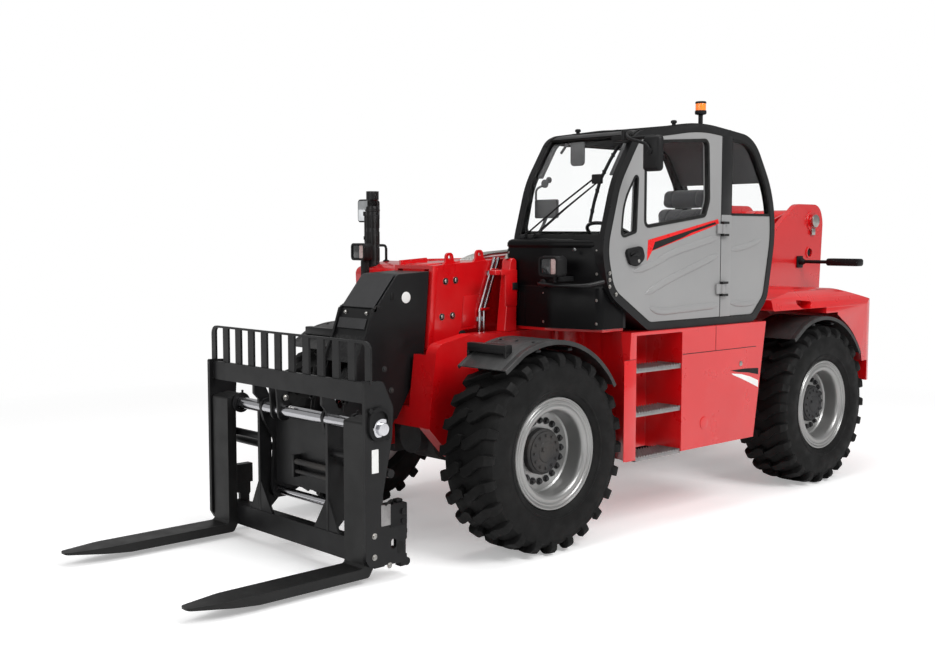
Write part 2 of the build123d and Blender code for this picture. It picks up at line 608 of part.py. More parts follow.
def cab_glass():
    """Windscreen, rear, roof and side panes, each set in its opening."""
    pane = cab_slice(20, CAB_IN, CAB_OUT) - cab_slice(28, CAB_IN - 5, CAB_OUT + 5)
    panes = [pane & opening for opening in hoop_windows()]
    right = plate(RIGHT_WINDOW, CAB_IN + 15, CAB_IN + 22)
    side = cab_slice(CAB_FRAME, CAB_OUT - 30, CAB_OUT - 23) & block(
        -1200, DOOR_REAR_X - 130, 0, 2000, WINDOW_LINE, 3000)
    return panes[0] + panes[1] + panes[2] + right + side


def door_panel():
    """Door that fills the cab's side ahead of the middle pillar, with two windows cut."""
    skin = cab_slice(CAB_FRAME + DOOR_GAP, CAB_OUT - DOOR_THICK, CAB_OUT)
    skin &= block(DOOR_REAR_X, 1500, 0, 2000, 1000, 3000)
    skin -= plate(DOOR_WINDOW, CAB_OUT - 100, CAB_OUT + 5)
    skin -= plate(QUARTER_WINDOW, CAB_OUT - 100, CAB_OUT + 5)
    skin += plate([(930, 1900, 40), (780, 1900, 40), (780, 2010, 40), (930, 2010, 40)],
                  CAB_OUT, CAB_OUT + 18)
    for z in DOOR_HINGES:
        leaf = rod_z(DOOR_AXIS_X, DOOR_AXIS_Y, 17, z - 35, z + 35)
        leaf += block(DOOR_AXIS_X, DOOR_AXIS_X + 60, CAB_OUT - 2, DOOR_AXIS_Y - 5, z - 35, z + 35)
        skin += leaf - rod_z(DOOR_AXIS_X, DOOR_AXIS_Y, HINGE_R + FIT, z - 40, z + 40)
    return skin


DOOR_HINGES = (1700.0, 2150.0)
DOOR_AXIS_X = DOOR_REAR_X - 5
DOOR_AXIS_Y = CAB_OUT + 20


def door_hinge_pins():
    """Pins and brackets on the middle pillar for the door's hinges."""
    body = None
    for z in DOOR_HINGES:
        pin = rod_z(DOOR_AXIS_X, DOOR_AXIS_Y, HINGE_R, z - 55, z + 55)
        for end in (z - 55, z + 37):
            pin += block(DOOR_AXIS_X - 60, DOOR_AXIS_X + 12, CAB_OUT + 4, DOOR_AXIS_Y + 12, end, end + 18)
            pin += block(DOOR_AXIS_X - 60, DOOR_AXIS_X - 4, CAB_OUT - 5, CAB_OUT + 4, end, end + 18)
        body = pin if body is None else body + pin
    return body


def door_glass():
    panes = plate(DOOR_WINDOW, CAB_OUT - 30, CAB_OUT - 23)
    return panes + plate(QUARTER_WINDOW, CAB_OUT - 30, CAB_OUT - 23)


SEAT_X = -60.0
SEAT_Y = 730.0


def operator_seat():
    """Seat pedestal, cushion and backrest with its head pad."""
    floor = CAB_BASE + CAB_FRAME
    body = block(SEAT_X - 200, SEAT_X + 220, SEAT_Y - 190, SEAT_Y + 190, floor, 1790)
    body += block(SEAT_X - 240, SEAT_X + 290, SEAT_Y - 250, SEAT_Y + 250, 1790, 1930)
    back = [(SEAT_X - 240, 1860, 40), (SEAT_X - 120, 1860, 40), (SEAT_X - 200, 2400, 50),
            (SEAT_X - 320, 2400, 50)]
    return body + plate(back, SEAT_Y - 240, SEAT_Y + 240)


def steering_console():
    """Dashboard column with the steering wheel."""
    floor = CAB_BASE + CAB_FRAME
    column = [(900, floor, 0), (760, floor, 0), (620, 2010, 40), (760, 2080, 40), (1000, 1950, 0)]
    body = plate(column, SEAT_Y - 110, SEAT_Y + 110) & cab_slice(CAB_FRAME, 0, 2000)
    wheel = Torus(180, 14) + Cylinder(14, 60) + Box(340, 24, 12) + Box(24, 340, 12)
    return body + Pos(600, SEAT_Y, 2105) * Rot(0, -28, 0) * wheel + Pos(640, SEAT_Y, 2060) * Box(90, 60, 100)


# ---------------------------------------------------------------- outside fittings
def work_lamps():
    """Head lamps on their brackets: left on the cab's nose, right on the engine bay's front."""
    left = block(1380, 1470, 830, 1000, 1825, 1960)
    left += block(1180, 1400, 890, 940, 1780, 1830) + block(1360, 1400, 890, 940, 1780, 1850)
    right = block(1500, 1590, -1110, -940, 1905, 2040) + block(1490, 1540, -1050, -1000, 1800, 1910)
    return left + right - cab_nose() - bay_front()


def mirrors():
    """Left mirror at the cab's front pillar, right one on a stalk and the rear one on the tower."""
    left = block(1010, 1062, MIRROR_REACH - 148, MIRROR_REACH, 2525, 2762)
    left += block(800, 1049, CAB_OUT - 60, CAB_OUT - 30, 2736, 2764)
    left += rod_y(1035, 2750, 14, CAB_OUT - 60, MIRROR_REACH - 60)
    left = left - cab_slice(0, 0, CAB_OUT)
    right = block(1140, 1205, -MIRROR_REACH, -MIRROR_REACH + 240, 2210, 2400)
    right += rod_z(1215, -MIRROR_REACH + 225, 11, 2010, 2300) + block(
        1190, 1226, -MIRROR_REACH + 200, -MIRROR_REACH + 236, 2260, 2300)
    right += rod_y(1215, 2020, 11, -MIRROR_REACH + 225, -1130) + rod_z(1215, -1130, 11, 1850, 2030)
    return left + right - bay_front()


def rear_mirror():
    body = rod_y(-2500, 1858, 16, TOWER_OUT, 720) + block(-2560, -2440, 700, 1020, 1825, 1892)
    return body + block(-2550, -2450, TOWER_OUT, TOWER_OUT + 12, 1800, 1910)


def beacon():
    lamp = rod_z(-20, 1060, 18, 2880, 3000) + rod_z(-20, 1060, 38, 3000, 3090)
    return lamp - cab_slice(0, CAB_IN, CAB_OUT)


def exhaust_stack():
    stack = rod_z(STACK_X, STACK_Y, 55, 1800, 2330) + rod_z(STACK_X, STACK_Y, 42, 2320, 2390)
    stack += rod_z(STACK_X, STACK_Y, 50, 2380, 2450)
    return stack - bay_front()


STACK_X = 1416.0
STACK_Y = -1050.0


def side_post():
    """Upright red bracket between the boom and the cab's nose."""
    rows = [(1300, RAIL_TOP, 0), (1420, RAIL_TOP, 0), (1360, 1940, 30), (1300, 1940, 30)]
    return plate(rows, RAIL_IN + 20, RAIL_OUT)


# ---------------------------------------------------------------- boom
COLLAR_LENGTH = 310.0
COLLAR_HALF = 205.0
COLLAR_DROP = 90.0          # how far the collar hangs below the boom
COLLAR_LEAN = 84.0          # how much further ahead its foot is than its top
PAD = 60.0                  # length of a wear pad
INNER_REAR = 620.0
INNER_FRONT = BOOM_END + 84.0
HEAD_IN = 150.0
HEAD_OUT = 175.0
EYE_AT = (185.0, 476.0)     # lifting eyes, back from the boom's end
EYE_Y = 174.0
EYE_THICK = 18.0
EYE_R = 14.0
EYE_UP = 50.0


def boom_base():
    """Outer boom section: a box tube with its heel on the pivot, the front collar and wear pads."""
    top, bottom = BOOM_TOP, BOOM_TOP - BOOM_HEIGHT
    cavity = (BOOM_HALF - BOOM_WALL, top - BOOM_WALL, bottom + BOOM_WALL)
    body = block(-130, BOOM_END - 20, -BOOM_HALF, BOOM_HALF, bottom, top)
    foot, rear = bottom - COLLAR_DROP, BOOM_END - COLLAR_LENGTH
    collar = [(rear, top + 4, 0), (BOOM_END, top + 4, 0), (BOOM_END + COLLAR_LEAN, foot, 0),
              (rear + COLLAR_LEAN, foot, 0)]
    body += plate(collar, -COLLAR_HALF, COLLAR_HALF)
    heel = [(-130, top - 60, 0), (-105, 10, 60), (0, 118, 110), (160, 70, 200), (700, top - 2, 0)]
    body += both_sides(plate(heel, BOOM_HALF - BOOM_WALL, BOOM_HALF))
    body += rod_y(0, 0, 105, -RAIL_IN + SIDE_GAP, RAIL_IN - SIDE_GAP)
    body -= block(160, BOOM_END + COLLAR_LEAN, -cavity[0], cavity[0], cavity[2], cavity[1])
    # wear pads round the inner section at the front
    u0, u1 = BOOM_END - PAD, BOOM_END
    inner_top = inner_middle() + INNER_HEIGHT / 2 + SIDE_GAP
    inner_low = inner_middle() - INNER_HEIGHT / 2 - SIDE_GAP
    side = INNER_HALF + SIDE_GAP
    pad = 0.8 * INNER_HALF
    body += block(u0, u1, -pad, pad, inner_top, cavity[1]) + block(u0, u1, -pad, pad, cavity[2], inner_low)
    mid = inner_middle()
    body += both_sides(block(u0, u1, side, cavity[0], mid - 120, mid + 120))
    body -= rod_y(0, 0, PIVOT_R + FIT, -RAIL_IN, RAIL_IN)
    # lugs for the lift cylinders' rods, below the tube
    u, w = lift_eye_in_boom()
    for mid_y in (LIFT_Y, -LIFT_Y):
        for edge in (mid_y - EYE_HALF - SIDE_GAP - LUG, mid_y + EYE_HALF + SIDE_GAP):
            lug = [(u - 190, bottom + 2, 0), (u - 60, w - 40, 40), (u, w - 78, 60), (u + 70, w - 40, 40),
                   (u + 130, bottom + 2, 0)]
            body += plate(lug, edge, edge + LUG)
    y0, y1 = EYE_Y - EYE_THICK / 2, EYE_Y + EYE_THICK / 2
    for back in EYE_AT:
        at, up = BOOM_END - back, top + EYE_UP
        eye = plate([(at - 66, top - 2, 0), (at + 66, top - 2, 0), (at + 40, up - 28, 15),
                     (at + 32, up + 32, 30), (at - 32, up + 32, 30), (at - 40, up - 28, 15)], y0, y1)
        body += eye - rod_y(at, up, EYE_R, y0 - 5, y1 + 5)
    # flat bar with its foot along the far top edge of the collar
    body += block(BOOM_END - 290, BOOM_END - 40, -COLLAR_HALF, -COLLAR_HALF + 22, top, top + 34)
    return in_boom(body)


def inner_middle():
    """Height of the inner section's axis across the boom."""
    return BOOM_TOP - BOOM_HEIGHT / 2


def lift_eye_in_boom():
    dx, dz = LIFT_EYE_X - PIVOT_X, LIFT_EYE_Z - PIVOT_Z
    c, s = cos(radians(BOOM_SLOPE)), sin(radians(BOOM_SLOPE))
    return dx * c - dz * s, dx * s + dz * c


# side outline of the boom head as (x, z, corner radius), clockwise from the top rear corner
HEAD_SIDE = (
    (1895, 1853, 0), (2187, 1838, 50), (2388, 1596, 60), (2443, 1431, 120), (2640, 1020, 200),
    (2690, 560, 90), (2670, 412, 84), (2450, 412, 84), (2002, 1157, 120), (1943, 1291, 60),
)
COVER = 10.0                # thickness of the head's cover sheet
BULKHEAD = 49.0             # thickness of the plate that closes the inner section


def head_slice(inset, y0, y1):
    face = outline(HEAD_SIDE)
    plane = Plane(origin=(0, y0, 0), x_dir=(1, 0, 0), z_dir=(0, -1, 0))
    return extrude(plane * (offset(face, amount=-inset) if inset else face), amount=-(y1 - y0))


TILT_BASE_X = 2060.0        # where the tilt cylinder is pinned inside the head
TILT_BASE_Z = 1640.0
TILT_LEVER = 360.0          # from the tilt pivot to the rod's pin
TILT_LEVER_DEG = 15.0       # lever's lean forward from upright
TILT_PIN_R = 28.0


def tilt_eye():
    a = radians(TILT_LEVER_DEG)
    return TILT_X + TILT_LEVER * sin(a), TILT_Z + TILT_LEVER * cos(a)


def boom_inner():
    """Inner boom section with its wear pads, the head's side plates and the tilt pivot pin."""
    mid, half = inner_middle(), INNER_HEIGHT / 2
    tube = block(INNER_REAR, INNER_FRONT, -INNER_HALF, INNER_HALF, mid - half, mid + half)
    tube -= block(INNER_REAR - 5, INNER_FRONT + 5, -INNER_HALF + INNER_WALL, INNER_HALF - INNER_WALL,
                  mid - half + INNER_WALL, mid + half - INNER_WALL)
    top, bottom = BOOM_TOP - BOOM_WALL - SIDE_GAP, BOOM_TOP - BOOM_HEIGHT + BOOM_WALL + SIDE_GAP
    side = BOOM_HALF - BOOM_WALL - SIDE_GAP
    u0, u1 = INNER_REAR, INNER_REAR + PAD
    pad = 0.8 * INNER_HALF
    tube += block(u0, u1, -pad, pad, mid + half, top) + block(u0, u1, -pad, pad, bottom, mid - half)
    tube += both_sides(block(u0, u1, INNER_HALF, side, mid - 120, mid + 120))
    body = in_boom(tube)
    (top_x, top_z), (low_x, low_z) = HEAD_SIDE[0][:2], HEAD_SIDE[-1][:2]
    bulkhead = [(top_x, top_z, 0), (top_x + BULKHEAD, top_z - 2.5, 0), (low_x + BULKHEAD, low_z, 0),
                (low_x, low_z, 0)]
    body += plate(bulkhead, -HEAD_OUT, HEAD_OUT)
    body += both_sides(head_slice(COVER, HEAD_IN, HEAD_OUT))
    for edge in (-EYE_HALF - SIDE_GAP - LUG, EYE_HALF + SIDE_GAP):
        lug = [(top_x + BULKHEAD - 5, TILT_BASE_Z - 110, 0), (top_x + BULKHEAD - 5, TILT_BASE_Z + 110, 0),
               (TILT_BASE_X + 40, TILT_BASE_Z + 60, 40), (TILT_BASE_X + 70, TILT_BASE_Z, 30),
               (TILT_BASE_X + 20, TILT_BASE_Z - 60, 40)]
        body += plate(lug, edge, edge + LUG)
    body += rod_y(TILT_BASE_X, TILT_BASE_Z, TILT_PIN_R, -EYE_HALF - LUG - 6, EYE_HALF + LUG + 6)
    body += rod_y(TILT_X, TILT_Z, 85, -HEAD_OUT, HEAD_OUT)
    body += rod_y(TILT_X, TILT_Z, TILT_R, -COUPLER_OUT - 14, COUPLER_OUT + 14)
    return body


def head_cover():
    """Black sheet cover over the head: top and slanted front, and thin cheeks at both sides."""
    shell = head_slice(0, -HEAD_OUT, HEAD_OUT) - head_slice(COVER, -HEAD_OUT - 5, HEAD_OUT + 5)
    rear = HEAD_SIDE[0][0]
    front = [(rear + BULKHEAD + 4, 1900, 0), (2900, 1900, 0), (2900, 1250, 0), (2440, 1250, 0),
             (2330, 1500, 0), (rear + BULKHEAD + 4, 1700, 0)]
    sheet = shell & plate(front, -HEAD_OUT, HEAD_OUT)
    cheek = head_slice(0, HEAD_OUT, HEAD_OUT + COVER) & block(rear - 5, 2900, 0, 400, 850, 2000)
    return sheet + both_sides(cheek)


def boom_pipes():
    """Twin steel pipes down the left side of the outer section, just behind the collar."""
    body = None
    for shift in (0.0, 42.0):
        route = [(1245 + shift, BOOM_HALF + 20, 1940), (1395 + shift, BOOM_HALF + 20, 1560),
                 (1395 + shift, BOOM_HALF + 20, 1400)]
        path = FilletPolyline(*route, radius=60)
        start = Plane(origin=path @ 0, z_dir=path % 0)
        pipe = sweep(start * Circle(12), path=path)
        body = pipe if body is None else body + pipe
    for x, z in ((1289, 1830), (1395, 1500)):
        body += block(x - 25, x + 67, BOOM_HALF, BOOM_HALF + 14, z - 15, z + 15)
    return body


def cylinder_axis(x0, z0, x1, z1):
    """Length and slope of the line from a barrel's pin to its rod's pin."""
    return hypot(x1 - x0, z1 - z0), degrees(atan2(z1 - z0, x1 - x0))


def along(x0, z0, slope, shape):
    """Puts a shape made along +X onto a line through (x0, z0) that rises by slope degrees."""
    return Pos(x0, 0, z0) * Rot(0, -slope, 0) * shape


def barrel(x0, z0, slope, r, bore, rod_r, pin_r, length, mids):
    """Cylinder barrel with its base eye and the gland that guides the rod."""
    body, neck = None, 4.2 * pin_r
    for y in mids:
        one = rod_x(y, 0, r, neck, length) + rod_y(0, 0, 2 * pin_r, y - EYE_HALF, y + EYE_HALF)
        one += rod_x(y, 0, min(EYE_HALF - 4, 0.8 * r), 0, neck + 5)
        one += rod_x(y, 0, r + 10, length - 70, length)
        one -= rod_x(y, 0, bore, neck + 15, length - 60)
        one -= rod_x(y, 0, rod_r + FIT, length - 65, length + 5)
        one -= rod_y(0, 0, pin_r + FIT, y - EYE_HALF - 5, y + EYE_HALF + 5)
        body = one if body is None else body + one
    return along(x0, z0, slope, body)


def piston_rod(x0, z0, slope, bore, rod_r, pin_r, piston, thick, length, mids):
    """Rod with its piston, its eye and the pin stub that lies between the lugs."""
    body = None
    for y in mids:
        one = rod_x(y, 0, rod_r, piston, length) + rod_x(y, 0, bore - FIT, piston, piston + thick)
        one += rod_y(length, 0, 1.9 * pin_r, y - EYE_HALF, y + EYE_HALF)
        body = one if body is None else body + one
    return along(x0, z0, slope, body)


LIFT_BARREL_R = 88.0
LIFT_BORE = 70.0
LIFT_ROD_R = 48.0
LIFT_PISTON = 360.0
LIFT_PISTON_THICK = 60.0
TILT_BARREL_R = 66.0
TILT_BORE = 50.0
TILT_ROD_R = 30.0
TILT_PISTON = 212.0
TILT_PISTON_THICK = 40.0


def lift_cylinders():
    length, slope = cylinder_axis(LIFT_X, LIFT_Z, LIFT_EYE_X, LIFT_EYE_Z)
    mids = (LIFT_Y, -LIFT_Y)
    barrels = barrel(LIFT_X, LIFT_Z, slope, LIFT_BARREL_R, LIFT_BORE, LIFT_ROD_R, LIFT_PIN_R,
                     length - 320, mids)
    rods = piston_rod(LIFT_X, LIFT_Z, slope, LIFT_BORE, LIFT_ROD_R, LIFT_PIN_R, LIFT_PISTON,
                      LIFT_PISTON_THICK, length, mids)
    return barrels, rods


def tilt_cylinder():
    x1, z1 = tilt_eye()
    length, slope = cylinder_axis(TILT_BASE_X, TILT_BASE_Z, x1, z1)
    body = barrel(TILT_BASE_X, TILT_BASE_Z, slope, TILT_BARREL_R, TILT_BORE, TILT_ROD_R, TILT_PIN_R,
                  length - 220, (0,))
    rod = piston_rod(TILT_BASE_X, TILT_BASE_Z, slope, TILT_BORE, TILT_ROD_R, TILT_PIN_R, TILT_PISTON,
                     TILT_PISTON_THICK, length, (0,))
    return body, rod


# ---------------------------------------------------------------- carriage
UPRIGHT_IN = 375.0
UPRIGHT_OUT = 400.0
COUPLER_OUT = UPRIGHT_IN - 12.0
COUPLER_IN = COUPLER_OUT - 26.0
LOCK_X = SHAFT_X - 90
LOCK_Z = 370.0
LOCK_R = 25.0
FORK_BACK_X = FORK_FACE_X - FORK_THICK
BEAM_FRONT = FORK_BACK_X - SIDE_GAP
BAR_COUNT = 10
BAR_HALF = 34.0
BACKREST_TOP = 1474.0
BACKREST_X = SHAFT_X + 66
CROSSBAR = 26.0             # thickness of the crossbar under the backrest
CROSSBAR_Z = (1100.0, 1226.0)


def coupler():
    """Tool coupler on the tilt pivot: two cheeks, a cross plate and the lugs of the tilt rod."""
    back = SHAFT_X - 200
    cheek = [(TILT_X - 85, TILT_Z - 85, 84), (TILT_X - 85, TILT_Z + 85, 80), (back, 860, 60),
             (SHAFT_X - 100, 1010, 60), (SHAFT_X + 60, SHAFT_Z + 60, 55), (SHAFT_X + 20, SHAFT_Z - 90, 60),
             (SHAFT_X - 60, 720, 80), (LOCK_X + 50, LOCK_Z + 50, 45), (LOCK_X + 50, LOCK_Z - 55, 50),
             (LOCK_X - 60, LOCK_Z - 55, 60)]
    body = both_sides(plate(cheek, COUPLER_IN, COUPLER_OUT))
    body += both_sides(rod_y(TILT_X, TILT_Z, 78, HEAD_OUT + 6, COUPLER_OUT))
    body += block(SHAFT_X - 110, SHAFT_X - 75, -COUPLER_IN, COUPLER_IN, 430, 900)
    kx, kz = tilt_eye()
    for edge in (-EYE_HALF - SIDE_GAP - LUG, EYE_HALF + SIDE_GAP):
        lug = [(SHAFT_X - 105, kz - 130, 0), (SHAFT_X - 105, kz + 50, 0), (kx, kz + 62, 50),
               (kx - 62, kz, 45), (kx, kz - 62, 50)]
        body += plate(lug, edge, edge + LUG)
    body -= rod_y(TILT_X, TILT_Z, TILT_R + FIT, -COUPLER_OUT - 5, COUPLER_OUT + 5)
    body -= rod_y(SHAFT_X, SHAFT_Z, SHAFT_R + FIT, -COUPLER_OUT - 5, COUPLER_OUT + 5)
    return body - rod_y(LOCK_X, LOCK_Z, LOCK_R + FIT, -COUPLER_OUT - 5, COUPLER_OUT + 5)


def carriage_frame():
    """Fork carriage: side plates, uprights with gussets, beams, backrest bars and the lock pin."""
    inner, front, rear = CARRIAGE_HALF - SIDE_PLATE, FORK_FACE_X + 14, SHAFT_X - 200
    low, high = CROSSBAR_Z
    side = [(front, high + 12, 12), (SHAFT_X - 18, high + 6, 30), (SHAFT_X - 97, 1066, 60),
            (SHAFT_X - 86, 884, 120), (SHAFT_X - 13, 542, 60), (SHAFT_X - 8, 352, 10), (rear, 340, 10),
            (rear, 250, 10), (rear + 10, 236, 5), (rear + 10, 100, 20), (front - 30, 112, 10),
            (front, 160, 10)]
    body = both_sides(plate(side, inner, CARRIAGE_HALF) - plate(
        [(rear + 85, 200, 18), (rear + 85, 262, 18), (rear + 125, 258, 18), (rear + 125, 196, 18)],
        inner - 5, CARRIAGE_HALF + 5))
    body += block(BACKREST_X, BACKREST_X + CROSSBAR, -inner - 5, inner + 5, low, high)
    body += block(SHAFT_X - 42, BEAM_FRONT, -inner - 5, inner + 5, 92, 236)
    upright = [(SHAFT_X - 30, 230, 0), (SHAFT_X - 140, 330, 40), (SHAFT_X - 140, 420, 40),
               (SHAFT_X - 60, 560, 60), (SHAFT_X - 60, 1000, 60), (SHAFT_X, low + 20, 0),
               (BACKREST_X + 5, low + 20, 0), (BACKREST_X + 5, low - 60, 0), (BEAM_FRONT - 4, 1000, 0),
               (BEAM_FRONT - 4, 230, 0)]
    body += both_sides(plate(upright, UPRIGHT_IN, UPRIGHT_OUT))
    gusset = [(235, 230, 0), (505, 230, 0), (UPRIGHT_OUT, 440, 10), (UPRIGHT_IN, 440, 10)]
    body += both_sides(panel_x(gusset, BEAM_FRONT - 24, BEAM_FRONT - 6))
    body += both_sides(rod_y(SHAFT_X - 20, 730, 26, UPRIGHT_OUT - 5, inner + 5))
    body += rod_y(LOCK_X, LOCK_Z, LOCK_R, -UPRIGHT_IN - 5, UPRIGHT_IN + 5)
    # backrest: end posts with rounded corners, top rail and bars
    half = CARRIAGE_HALF + 3
    rail = [(-half, high - 10, 0), (-half, BACKREST_TOP, 60), (half, BACKREST_TOP, 60), (half, high - 10, 0)]
    hole = [(-half + 52, high - 15, 0), (-half + 52, BACKREST_TOP - 14, 30),
            (half - 52, BACKREST_TOP - 14, 30), (half - 52, high - 15, 0)]
    body += panel_x(rail, BACKREST_X, BACKREST_X + 16) - panel_x(hole, BACKREST_X - 5, BACKREST_X + 21)
    pitch = 2 * (half - 26) / (BAR_COUNT + 1)
    for i in range(1, BAR_COUNT + 1):
        mid = -half + 26 + i * pitch
        body += block(BACKREST_X, BACKREST_X + 16, mid - BAR_HALF, mid + BAR_HALF, high - 6, BACKREST_TOP - 5)
    body -= rod_y(SHAFT_X, SHAFT_Z, SHAFT_R + FIT, -CARRIAGE_HALF - 5, CARRIAGE_HALF + 5)
    # rest feet: a block and a roller inside each side plate, and the valve block on top of the foot
    foot = block(rear + 20, rear + 150, inner - 60, inner + 5, 105, 190)
    foot += rod_y(rear - 22, 90, 26, inner - 50, inner) + block(rear - 22, rear + 30, inner - 50, inner, 66, 140)
    foot += block(rear + 5, rear + 135, inner - 40, inner + 22, 335, 470)
    return body + both_sides(foot)


def fork_shaft():
    reach = CARRIAGE_HALF + 26
    body = rod_y(SHAFT_X, SHAFT_Z, SHAFT_R, -reach, reach)
    return body + both_sides(rod_y(SHAFT_X, SHAFT_Z, SHAFT_R + 22, CARRIAGE_HALF + 0.4, CARRIAGE_HALF + 12))


def fork(side):
    """One L-shaped fork: eye on the shaft, shank and tapered blade."""
    y0, y1 = side * FORK_Y - FORK_WIDTH / 2, side * FORK_Y + FORK_WIDTH / 2
    back, face = FORK_BACK_X, FORK_FACE_X
    profile = [(back, 1000, 0), (back, FORK_BOTTOM + 50, 0), (back + 30, FORK_BOTTOM, 30),
               (FORK_TIP_X - 420, FORK_BOTTOM, 0), (FORK_TIP_X, FORK_BOTTOM + 42, 0),
               (FORK_TIP_X, FORK_BOTTOM + 56, 0), (FORK_TIP_X - 420, FORK_BOTTOM + 60, 0),
               (face, FORK_BOTTOM + 62, 24), (face, 985, 16)]
    body = plate(profile, y0, y1)
    blade = [(back - 200, y0), (FORK_TIP_X - 260, y0, 300), (FORK_TIP_X, y0 + 55, 30),
             (FORK_TIP_X, y1 - 55, 30), (FORK_TIP_X - 260, y1, 300), (back - 200, y1)]
    body &= slab(blade, 0, 1100)
    eye = rod_y(SHAFT_X, SHAFT_Z, SHAFT_R + 24, side * FORK_Y - 80, side * FORK_Y + 80)
    eye += block(SHAFT_X, back + 5, side * FORK_Y - 80, side * FORK_Y + 80, SHAFT_Z - 55, SHAFT_Z + 55)
    body += eye
    return body - rod_y(SHAFT_X, SHAFT_Z, SHAFT_R + FIT, y0 - 5, y1 + 5)


# ---------------------------------------------------------------- writing the pieces
def all_pieces():
    lift_barrel, lift_rod = lift_cylinders()
    tilt_barrel, tilt_rod = tilt_cylinder()
    pieces = {
        "chassis_frame": chassis_frame(), "boom_tower": boom_tower(), "front_axle": axle(1),
        "rear_axle": axle(-1), "counterweight": counterweight(), "left_side_box": left_side_box(),
        "cab_steps": cab_steps(), "engine_bay": engine_bay(), "engine_block": engine_block(),
        "engine_hood": engine_hood(), "hood_grille": hood_grille(),
        "cab_frame": cab_frame() + door_hinge_pins(), "cab_rear_quarter": cab_rear_quarter(),
        "cab_glass": cab_glass(), "door_panel": door_panel(), "door_glass": door_glass(),
        "operator_seat": operator_seat(), "steering_console": steering_console(),
        "work_lamps": work_lamps(), "mirrors": mirrors(), "rear_mirror": rear_mirror(),
        "beacon": beacon(), "exhaust_stack": exhaust_stack(), "side_post": side_post(),
        "boom_base": boom_base(), "boom_inner": boom_inner(), "head_cover": head_cover(),
        "boom_pipes": boom_pipes(), "lift_barrel": lift_barrel, "lift_rod": lift_rod,
        "tilt_barrel": tilt_barrel, "tilt_rod": tilt_rod, "coupler": coupler(),
        "carriage_frame": carriage_frame(), "fork_shaft": fork_shaft(),
        "fork_left": fork(1), "fork_right": fork(-1),
    }
    tyre = tyre_body()
    for name, front, side in CORNERS:
        pieces["tyre_" + name] = Pos(front * AXLE_X, side * WHEEL_Y, WHEEL_R) * tyre
        pieces["rim_" + name] = rim(front * AXLE_X, side)
        pieces["knuckle_" + name] = knuckle(front * AXLE_X, side)
        pieces["fender_" + name] = fender(front, side)
    return pieces


def main():
    os.makedirs("parts", exist_ok=True)
    for name, shape in all_pieces().items():
        export_step(Pos(-ORIGIN_X, 0, 0) * shape, "parts/" + name + ".step")


main()
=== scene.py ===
"""Looks of the telescopic handler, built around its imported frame.

Lengths are in metres, in the machine's own frame: +X forward from midway between the axles, +Y to
the driver's left and +Z up from the ground. piece() shifts shapes by MID_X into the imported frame.
"""

from math import cos, pi, radians, sin

import bmesh
import bpy
import numpy as np
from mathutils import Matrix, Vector


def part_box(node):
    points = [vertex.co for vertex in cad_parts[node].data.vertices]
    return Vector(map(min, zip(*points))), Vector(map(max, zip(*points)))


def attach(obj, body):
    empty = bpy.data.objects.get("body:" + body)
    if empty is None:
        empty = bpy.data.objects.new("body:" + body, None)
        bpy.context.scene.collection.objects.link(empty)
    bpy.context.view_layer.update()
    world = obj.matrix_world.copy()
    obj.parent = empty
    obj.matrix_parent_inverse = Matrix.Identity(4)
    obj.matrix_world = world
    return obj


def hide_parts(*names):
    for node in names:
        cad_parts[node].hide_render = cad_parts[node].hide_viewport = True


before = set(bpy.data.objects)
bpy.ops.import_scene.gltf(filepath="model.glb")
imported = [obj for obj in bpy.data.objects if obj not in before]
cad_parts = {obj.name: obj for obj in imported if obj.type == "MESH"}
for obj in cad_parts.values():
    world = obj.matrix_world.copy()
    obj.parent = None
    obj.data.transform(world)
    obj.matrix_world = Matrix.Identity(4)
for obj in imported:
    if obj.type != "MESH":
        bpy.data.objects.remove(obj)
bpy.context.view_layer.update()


# ------------------------------------------------------------ places read from the frame
def middle(node):
    """Middle of a CAD node's box."""
    return np.mean(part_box(node), axis=0)


FRONT_X, REAR_X = middle("tyre_fl")[0], middle("tyre_rl")[0]
MID_X, AXLE_X = (FRONT_X + REAR_X) / 2, (FRONT_X - REAR_X) / 2
WHEEL_Y, WHEEL_R = middle("tyre_fl")[1:]
TYRE_R = np.ptp(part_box("tyre_fl"), axis=0)[2] / 2
CORNERS = (("fl", 1, 1), ("fr", 1, -1), ("rl", -1, 1), ("rr", -1, -1))     # name, sign of x, sign of y


# ------------------------------------------------------------ shapes as arrays
# A shape is (verts, faces): an (n, 3) array and a list of (m, k) index arrays, one per corner count.
# rows of axes: a flat outline's two, then the one its depth runs along
AXES = {"xz": (0, 2, 1), "xy": (0, 1, 2), "yz": (1, 2, 0), "x": (1, 2, 0), "y": (2, 0, 1), "z": (0, 1, 2)}


def unit(v):
    """Each row divided by its length."""
    return v / np.maximum(np.linalg.norm(v, axis=-1, keepdims=True), 1e-12)


def outward(verts, faces):
    """Shape with its faces turned outwards, by the sign of the volume that their fans enclose."""
    volume = sum(np.einsum("ij,ij->", verts[f[:, 0]], np.cross(verts[f[:, k]], verts[f[:, k + 1]]))
                 for f in faces for k in range(1, f.shape[1] - 1))
    return (verts, [f[:, ::-1] for f in faces]) if volume < 0 else (verts, faces)


def join(*shapes):
    """One shape made of several, with each one's indices moved past those before it."""
    verts, faces, at = [], [], 0
    for v, groups in shapes:
        verts.append(v)
        faces += [group + at for group in groups]
        at += len(v)
    return np.concatenate(verts), faces


